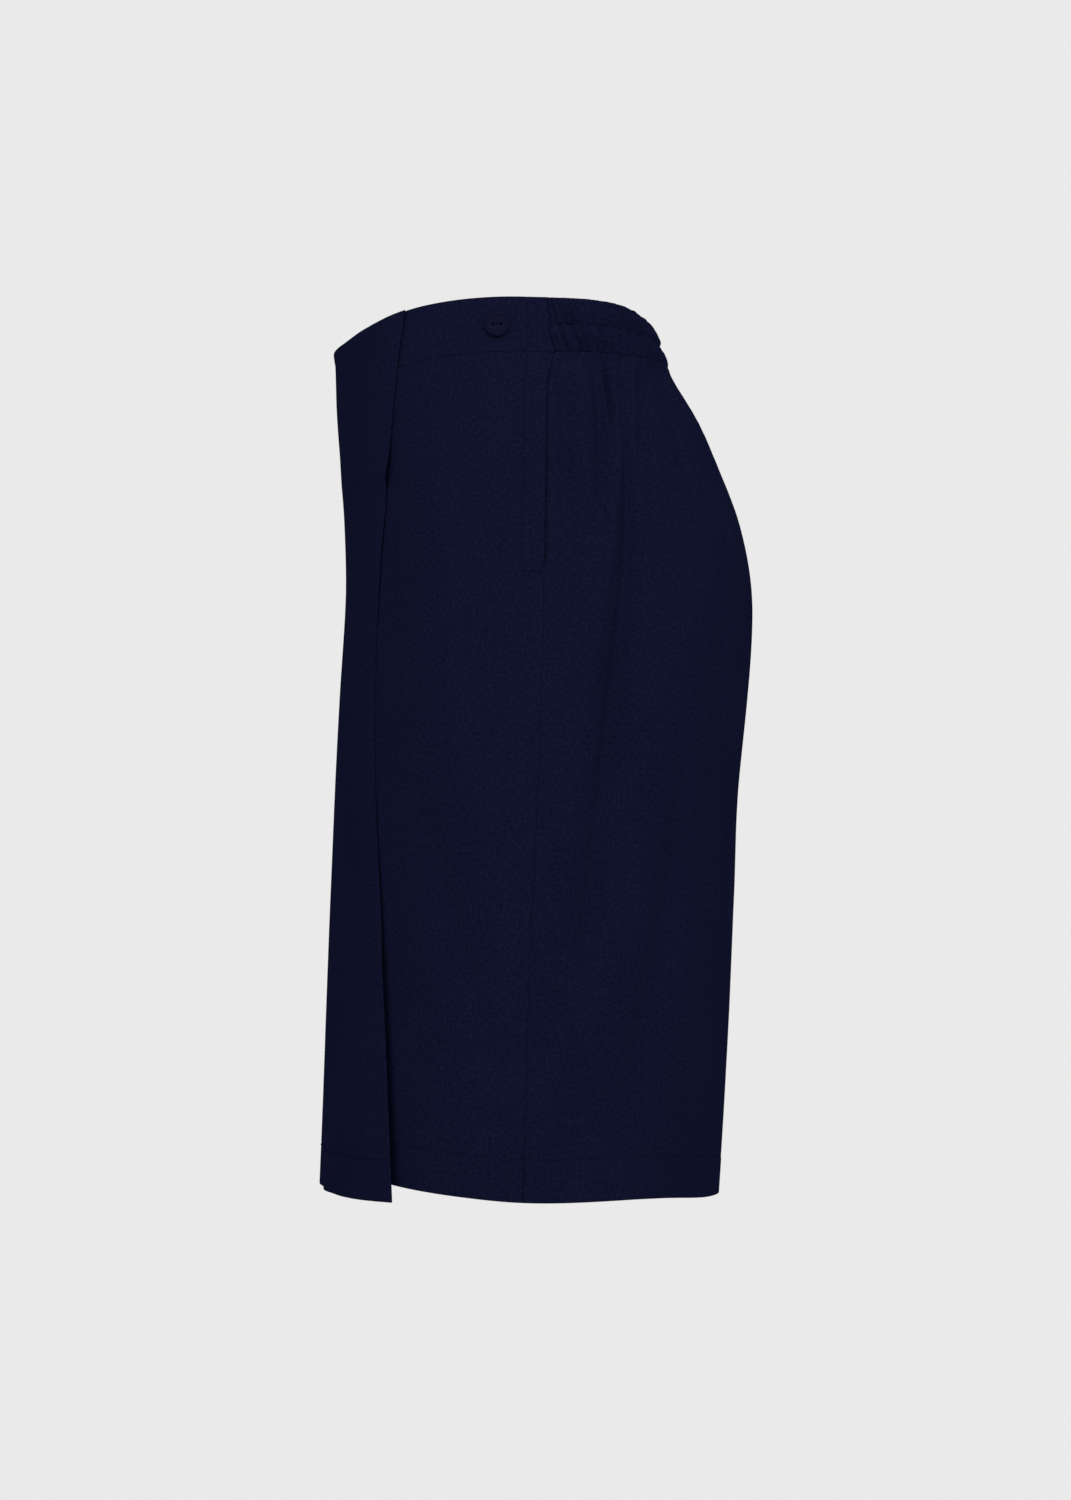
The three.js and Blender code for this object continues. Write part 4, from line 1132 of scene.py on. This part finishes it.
def button_piece(name):
    """The turned button, with its two holes cut and their edges eased."""
    button = lathe(name, BUTTON_BACK + BUTTON_RIM + BUTTON_WELL, BUTTON_SIDES)
    low, high = -BUTTON["thickness"], 2 * BUTTON["thickness"]
    hole = [(0, low), (HOLE_RADIUS, low), (HOLE_RADIUS, high), (0, high)]
    cutters = []
    for side in (-1, 1):
        cutter = lathe("cutter", hole, HOLE_SIDES)
        cutter.location.x = side * HOLE_SPREAD / 2 * MM
        cutters.append(cutter)
        cut = button.modifiers.new("hole", "BOOLEAN")
        cut.object = cutter
        cut.solver = "EXACT"
    bevel = button.modifiers.new("hole_edges", "BEVEL")
    bevel.width = HOLE_BEVEL * MM
    bevel.segments = HOLE_BEVEL_STEPS
    bevel.limit_method = "ANGLE"
    bevel.angle_limit = SHARP_ANGLE
    bpy.context.view_layer.update()
    evaluated = button.evaluated_get(bpy.context.evaluated_depsgraph_get())
    finished = bpy.data.meshes.new_from_object(evaluated)
    button.modifiers.clear()
    button.data = finished
    for cutter in cutters:
        bpy.data.objects.remove(cutter)
    finished.transform(button_frame())
    finished.shade_smooth()
    return button


def button_thread(name):
    """The thread that runs from one hole to the other, over the well."""
    along = THREAD_ALONG * HOLE_SPREAD / 2
    strand = (np.arange(BUTTON_THREADS) - (BUTTON_THREADS - 1) / 2)[:, None]
    pinch = 1 - THREAD_PINCH / 2 * (1 - np.cos(math.pi * THREAD_ALONG))
    height = THREAD_HEIGHT - THREAD_SAG * np.abs(strand)
    centres = np.stack(np.broadcast_arrays(along, BUTTON_THREAD_SPACE * strand * pinch, height), -1)
    lean = np.sign(along)[:, None] * [THREAD_LEAN, 0, 0]
    ups = np.broadcast_to(lean + [0, 0, 1], centres.shape)
    thread = tubes(name, centres, ups, np.full(len(along), THREAD_RADIUS))
    thread.data.transform(button_frame())
    return thread


# ---------------------------------------------------------------- materials


class Recipe:
    """A material and the nodes that are added to it."""

    def __init__(self, name):
        self.material = bpy.data.materials.new(name)
        self.material.use_nodes = True
        self.tree = self.material.node_tree
        self.shader = self.tree.nodes["Principled BSDF"]

    def plug(self, node, **inputs):
        """Sets or links a node's inputs, named with _ for each space."""
        for name, value in inputs.items():
            socket = node.inputs[name.replace("_", " ")]
            if isinstance(value, bpy.types.NodeSocket):
                self.tree.links.new(value, socket)
            else:
                socket.default_value = value
        return node

    def add(self, kind, settings=None, **inputs):
        node = self.tree.nodes.new(kind)
        for name, value in (settings or {}).items():
            setattr(node, name, value)
        return self.plug(node, **inputs)

    def cloth_place(self, across, down, turn=0):
        """The place on the flat cloth, scaled so that one unit is the given mm across and down it."""
        uv = self.add("ShaderNodeUVMap", {"uv_map": CLOTH_MAP}).outputs["UV"]
        scale = (1 / (across * MM), 1 / (down * MM), 1)
        moved = self.add("ShaderNodeMapping", Vector=uv, Rotation=(0, 0, turn), Scale=scale)
        return moved.outputs["Vector"]

    def noise(self, place, detail):
        settings = {"Vector": place, "Scale": 1, "Detail": detail, "Roughness": 0.6}
        return self.add("ShaderNodeTexNoise", **settings).outputs["Fac"]

    def ramp(self, fac, *stops):
        """A colour ramp from (position, colour) pairs."""
        node = self.add("ShaderNodeValToRGB", Fac=fac)
        elements = node.color_ramp.elements
        for _ in range(len(stops) - 2):
            elements.new(0.5)
        for element, (position, colour) in zip(elements, stops):
            element.position = position
            element.color = (*colour, 1)
        return node.outputs["Color"]

    def bump(self, height, depth, strength, before=None):
        inputs = {"Height": height, "Distance": depth * MM, "Strength": strength}
        if before:
            inputs["Normal"] = before
        return self.add("ShaderNodeBump", **inputs).outputs["Normal"]


def blend(recipe, kind, fac, first, second):
    """Two colours mixed: kind is the Mix node's way of blending them."""
    node = recipe.add("ShaderNodeMix", {"data_type": "RGBA", "blend_type": kind})
    colours = [socket for socket in node.inputs if socket.type == "RGBA"]
    recipe.tree.links.new(first, colours[0])
    recipe.tree.links.new(second, colours[1])
    if isinstance(fac, bpy.types.NodeSocket):
        recipe.tree.links.new(fac, node.inputs["Factor"])
    else:
        node.inputs["Factor"].default_value = fac
    return next(socket for socket in node.outputs if socket.type == "RGBA")


NAVY_DARK, NAVY_LIGHT = (0.0033, 0.0040, 0.0155), (0.0081, 0.0092, 0.0305)
THREAD_DARK, THREAD_LIGHT = (0.0034, 0.0041, 0.0154), (0.0064, 0.0074, 0.0248)
PLASTIC_DARK, PLASTIC_LIGHT = (0.0040, 0.0046, 0.0175), (0.0058, 0.0065, 0.0232)

# The twill's marks, as mm across and down the cloth: its flecks, its yarns and its broad shades.
FLECK, YARN, SHADE = (1.9, 1.9), (0.7, 5.0), (46, 70)
RIB_SLANT = math.radians(27)


def twill():
    """Navy twill. Its yarns are of slightly uneven colour, and fine ribs run aslant over it."""
    recipe = Recipe("navy_twill")
    flecks = recipe.noise(recipe.cloth_place(*FLECK), 2)
    yarns = recipe.noise(recipe.cloth_place(*YARN), 2)
    broad = recipe.noise(recipe.cloth_place(*SHADE), 3)
    speckled = recipe.ramp(flecks, (0.34, NAVY_DARK), (0.66, NAVY_LIGHT))
    streaked = recipe.ramp(yarns, (0.3, NAVY_DARK), (0.7, NAVY_LIGHT))
    shade = recipe.ramp(broad, (0.3, (0.94, 0.94, 0.95)), (0.7, (1.06, 1.06, 1.05)))
    colour = blend(recipe, "MIX", 0.4, speckled, streaked)
    colour = blend(recipe, "MULTIPLY", 1.0, colour, shade)
    ribs = recipe.add(
        "ShaderNodeTexWave",
        {"wave_type": "BANDS", "bands_direction": "X"},
        Vector=recipe.cloth_place(1, 1, RIB_SLANT),
        Scale=0.36,
        Distortion=1.2,
        Detail=1.0,
        Detail_Scale=2.0,
    ).outputs["Fac"]
    normal = recipe.bump(ribs, 0.12, 0.35)
    normal = recipe.bump(flecks, 0.25, 0.5, normal)
    recipe.plug(recipe.shader, Base_Color=colour, Normal=normal, Roughness=0.9, Specular_IOR_Level=0.0)
    return recipe.material


def thread_material():
    """Navy sewing thread, with its plies as fine slanting bands."""
    recipe = Recipe("navy_thread")
    place = recipe.add("ShaderNodeTexCoord").outputs["Object"]
    plies = recipe.add(
        "ShaderNodeTexWave",
        {"wave_type": "BANDS", "bands_direction": "DIAGONAL"},
        Vector=place,
        Scale=620,
        Distortion=0.5,
    ).outputs["Fac"]
    colour = recipe.ramp(plies, (0.2, THREAD_DARK), (0.8, THREAD_LIGHT))
    normal = recipe.bump(plies, 0.05, 0.5)
    recipe.plug(recipe.shader, Base_Color=colour, Normal=normal, Roughness=0.8, Specular_IOR_Level=0.0)
    return recipe.material


def button_material():
    """Dark navy plastic with a faint cloudiness and a worn, half matt shine."""
    recipe = Recipe("navy_plastic")
    place = recipe.add("ShaderNodeTexCoord").outputs["Object"]
    settings = {"Vector": place, "Scale": 260, "Detail": 3, "Distortion": 1.5}
    cloud = recipe.add("ShaderNodeTexNoise", **settings).outputs["Fac"]
    colour = recipe.ramp(cloud, (0.3, PLASTIC_DARK), (0.7, PLASTIC_LIGHT))
    scratches = recipe.add("ShaderNodeTexNoise", Vector=place, Scale=2600, Detail=2).outputs["Fac"]
    rough = recipe.ramp(scratches, (0.3, (0.38, 0.38, 0.38)), (0.7, (0.5, 0.5, 0.5)))
    normal = recipe.bump(scratches, 0.02, 0.3)
    recipe.plug(recipe.shader, Base_Color=colour, Roughness=rough, Normal=normal, Specular_IOR_Level=0.01)
    return recipe.material


def floor_material():
    """A pale matt floor that fades out round its border."""
    recipe = Recipe("pale_floor")
    place = recipe.add("ShaderNodeTexCoord").outputs["Object"]
    away = recipe.add("ShaderNodeVectorMath", {"operation": "LENGTH"})
    recipe.tree.links.new(place, away.inputs[0])
    shown = recipe.ramp(away.outputs["Value"], (0.45, (1, 1, 1)), (0.95, (0, 0, 0)))
    grain = recipe.noise(place, 2)
    tint = recipe.ramp(grain, (0.3, (0.79, 0.79, 0.79)), (0.7, (0.81, 0.81, 0.81)))
    recipe.plug(recipe.shader, Base_Color=tint, Alpha=shown, Roughness=0.9, Specular_IOR_Level=0.0)
    return recipe.material


# ---------------------------------------------------------------- pieces

FULLNESS = 1.25  # the elastic band's cloth before it is gathered, as a share of its gathered length
SKIRT_TOP_Z = -10  # the skirt panel's mean top
HEM_MIDDLE_Y = 20
CUT_HEIGHTS = 200  # how many heights a piece's width is read at


def finish_piece(piece, material, slot, *nodes):
    """Gives a piece its material and body, and hides the nodes that it replaces. slot is not used."""
    piece.data.materials.clear()
    piece.data.materials.append(material)
    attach(piece, BODY)
    if nodes:
        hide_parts(*nodes)


def flat_cut(form_width, top, bottom):
    """The greatest width, the length and the area of a piece whose width at a height form_width gives."""
    z = np.linspace(bottom, top, CUT_HEIGHTS)
    widths = form_width(z)
    return widths.max(), top - bottom, widths.mean() * (top - bottom)


twill_cloth, thread_finish, plastic = twill(), thread_material(), button_material()
hem_middle = shorts_hem(float(HEM_MIDDLE_Y))

for side in ("left", "right"):
    for part in ("front", "back"):
        node = f"{part}_{side}"
        piece = shorts_panel(node + "_cloth", part, side)
        finish_piece(piece, twill_cloth, CLOTH_SLOT, node)
        sign = -1 if part == "front" else 1
        sizes = flat_cut(lambda z: sign * LEGS.mark(part + "_end", z), WAIST_Z, hem_middle - HEM)

piece = skirt_panel("skirt_panel_cloth")
finish_piece(piece, twill_cloth, CLOTH_SLOT, "skirt_panel")
bottom = SKIRT_HEM["front"] - HEM
sizes = flat_cut(lambda z: RING.mark("edge", z) + RING.mark("seam", z), SKIRT_TOP_Z, bottom)

piece = front_band("waistband_front_cloth")
finish_piece(piece, twill_cloth, CLOTH_SLOT, "waistband_front")
wide = 2 * RING.mark("seam", WAIST_Z)  # the bands are doubled cloth, and their flat sizes are as folded

piece = elastic_band("waistband_back_cloth")
finish_piece(piece, twill_cloth, CLOTH_SLOT, "waistband_back")
wide = FULLNESS * ELASTIC_LENGTH

finish_piece(button_piece("button_turned"), plastic, BUTTON_SLOT, "button")
finish_piece(button_thread("button_thread"), thread_finish, CLOTH_SLOT)


def shorts_skin(part, side):
    return lambda along, z: raised(LEGS, along, z, shorts_push(part, side, along, z))


def skirt_skin(along, z):
    return raised(RING, along, z, skirt_push(along, z))


def band_skin(along, z):
    return raised(RING, along, z, front_relief(along, z)[1])


def elastic_skin(u, share):
    lean, push = elastic_relief(u, share)
    z = band_height(lambda z: elastic_along(u, z), share, share.shape)
    return raised(RING, elastic_along(u, z) + lean, z, push)


LINE_POINTS = 400
LINE_CLEARANCE, SIDE_CLEARANCE = 1.5, 0.8  # a line's ends from the seams, and from the side seam
hem_z = SHORTS_HEM["z"][-1]
for side in ("left", "right"):
    for part in ("front", "back"):
        sign = -1 if part == "front" else 1
        start, end = SIDE_CLEARANCE * sign, LEGS.mark(part + "_end", hem_z) - LINE_CLEARANCE * sign
        along = np.linspace(start, end, LINE_POINTS)
        z = settle(lambda y: shorts_hem(y) + HEM, lambda z: LEGS.at(along, z), np.full(LINE_POINTS, hem_z))
        line = stitches(f"hem_stitches_{part}_{side}", shorts_skin(part, side), along, z, 1, side)
        finish_piece(line, thread_finish, CLOTH_SLOT)

front_z = float(SKIRT_HEM["front"])
seam, edge = (float(RING.mark(mark, front_z)) for mark in ("seam", "edge"))
along = np.linspace(LINE_CLEARANCE - seam, edge - LINE_CLEARANCE, LINE_POINTS)
z = skirt_hem(along, front_z, edge, 2 * SEAM_HALF_GAP - seam) + HEM
finish_piece(stitches("hem_stitches_skirt", skirt_skin, along, z), thread_finish, CLOTH_SLOT)

# The placket's topstitching runs down the waistband and the front panel, then across to the slit and up it.
z = np.linspace(-LINE_CLEARANCE, WAIST_Z + 1, LINE_POINTS)
along = RING.mark("seam", z) - placket_line(z)
finish_piece(stitches("placket_stitches_band", band_skin, along, z), thread_finish, CLOTH_SLOT)
PLACKET_CORNERS = [
    (PLACKET_WIDTH, WAIST_Z - 2),
    (PLACKET_WIDTH, PLACKET_END),
    (2.6, PLACKET_END - 0.5),
    (1.0, PLACKET_END + 2),
    (0.9, PLACKET_END + 10),
]
numbers = range(len(PLACKET_CORNERS))
corner = np.linspace(0, numbers[-1], LINE_POINTS)
distance, z = (np.interp(corner, numbers, places) for places in zip(*PLACKET_CORNERS))
along = -past_bulge(distance, z)
line = stitches("placket_stitches", shorts_skin("front", "left"), along, z)
finish_piece(line, thread_finish, CLOTH_SLOT)
CHANNEL_CLEARANCE = 0.004  # the channel line's ends from the band's, by share of its length
CHANNEL_POINTS = 12 * GATHERS
u = np.linspace(CHANNEL_CLEARANCE, 1 - CHANNEL_CLEARANCE, CHANNEL_POINTS)
line = stitches("channel_stitches", elastic_skin, u, np.full(CHANNEL_POINTS, CHANNEL), -1)
finish_piece(line, thread_finish, CLOTH_SLOT)

# ---------------------------------------------------------------- camera, light and ground

# Places in the studio are metres. The camera looks level at the wearer's left side.
CAMERA = {"place": (2.2, 0.026, -0.271), "lens": 82.5, "sensor": 36}
KEY_LAMP = {"place": (1.5, 0.3, 0.8), "size": 0.8, "power": 10.5}
LAMP_TARGET = (0, 0, -0.27)
STUDIO_GREY = 0.823
FLOOR = {"place": (1.2, 0, -1.03), "radius": 2.3, "sides": 96}


def camera():
    data = bpy.data.cameras.new("camera")
    data.lens = CAMERA["lens"]
    data.sensor_width = CAMERA["sensor"]
    thing = new_object("camera", data)
    thing.location = CAMERA["place"]
    thing.rotation_euler = (math.pi / 2, 0, math.pi / 2)
    bpy.context.scene.camera = thing


def lamp(name, place, size, power):
    data = bpy.data.lights.new(name, "AREA")
    data.shape = "SQUARE"
    data.size = size
    data.energy = power
    thing = new_object(name, data)
    thing.location = place
    aim = Vector(LAMP_TARGET) - Vector(place)
    thing.rotation_euler = aim.to_track_quat("-Z", "Y").to_euler()


def floor():
    radius = FLOOR["radius"]
    mesh = bpy.data.meshes.new("floor")
    disc = bmesh.new()
    bmesh.ops.create_circle(disc, cap_ends=True, segments=FLOOR["sides"], radius=1)
    disc.to_mesh(mesh)
    disc.free()
    thing = new_object("floor", mesh)
    thing.location = FLOOR["place"]
    thing.scale = (radius, radius, 1)
    mesh.materials.append(floor_material())


camera()
lamp("key", **KEY_LAMP)
floor()
world = bpy.data.worlds.new("studio")
world.use_nodes = True
world.node_tree.nodes["Background"].inputs["Color"].default_value = (*[STUDIO_GREY] * 3, 1)
bpy.context.scene.world = world
bpy.context.scene.view_settings.view_transform = "Standard"
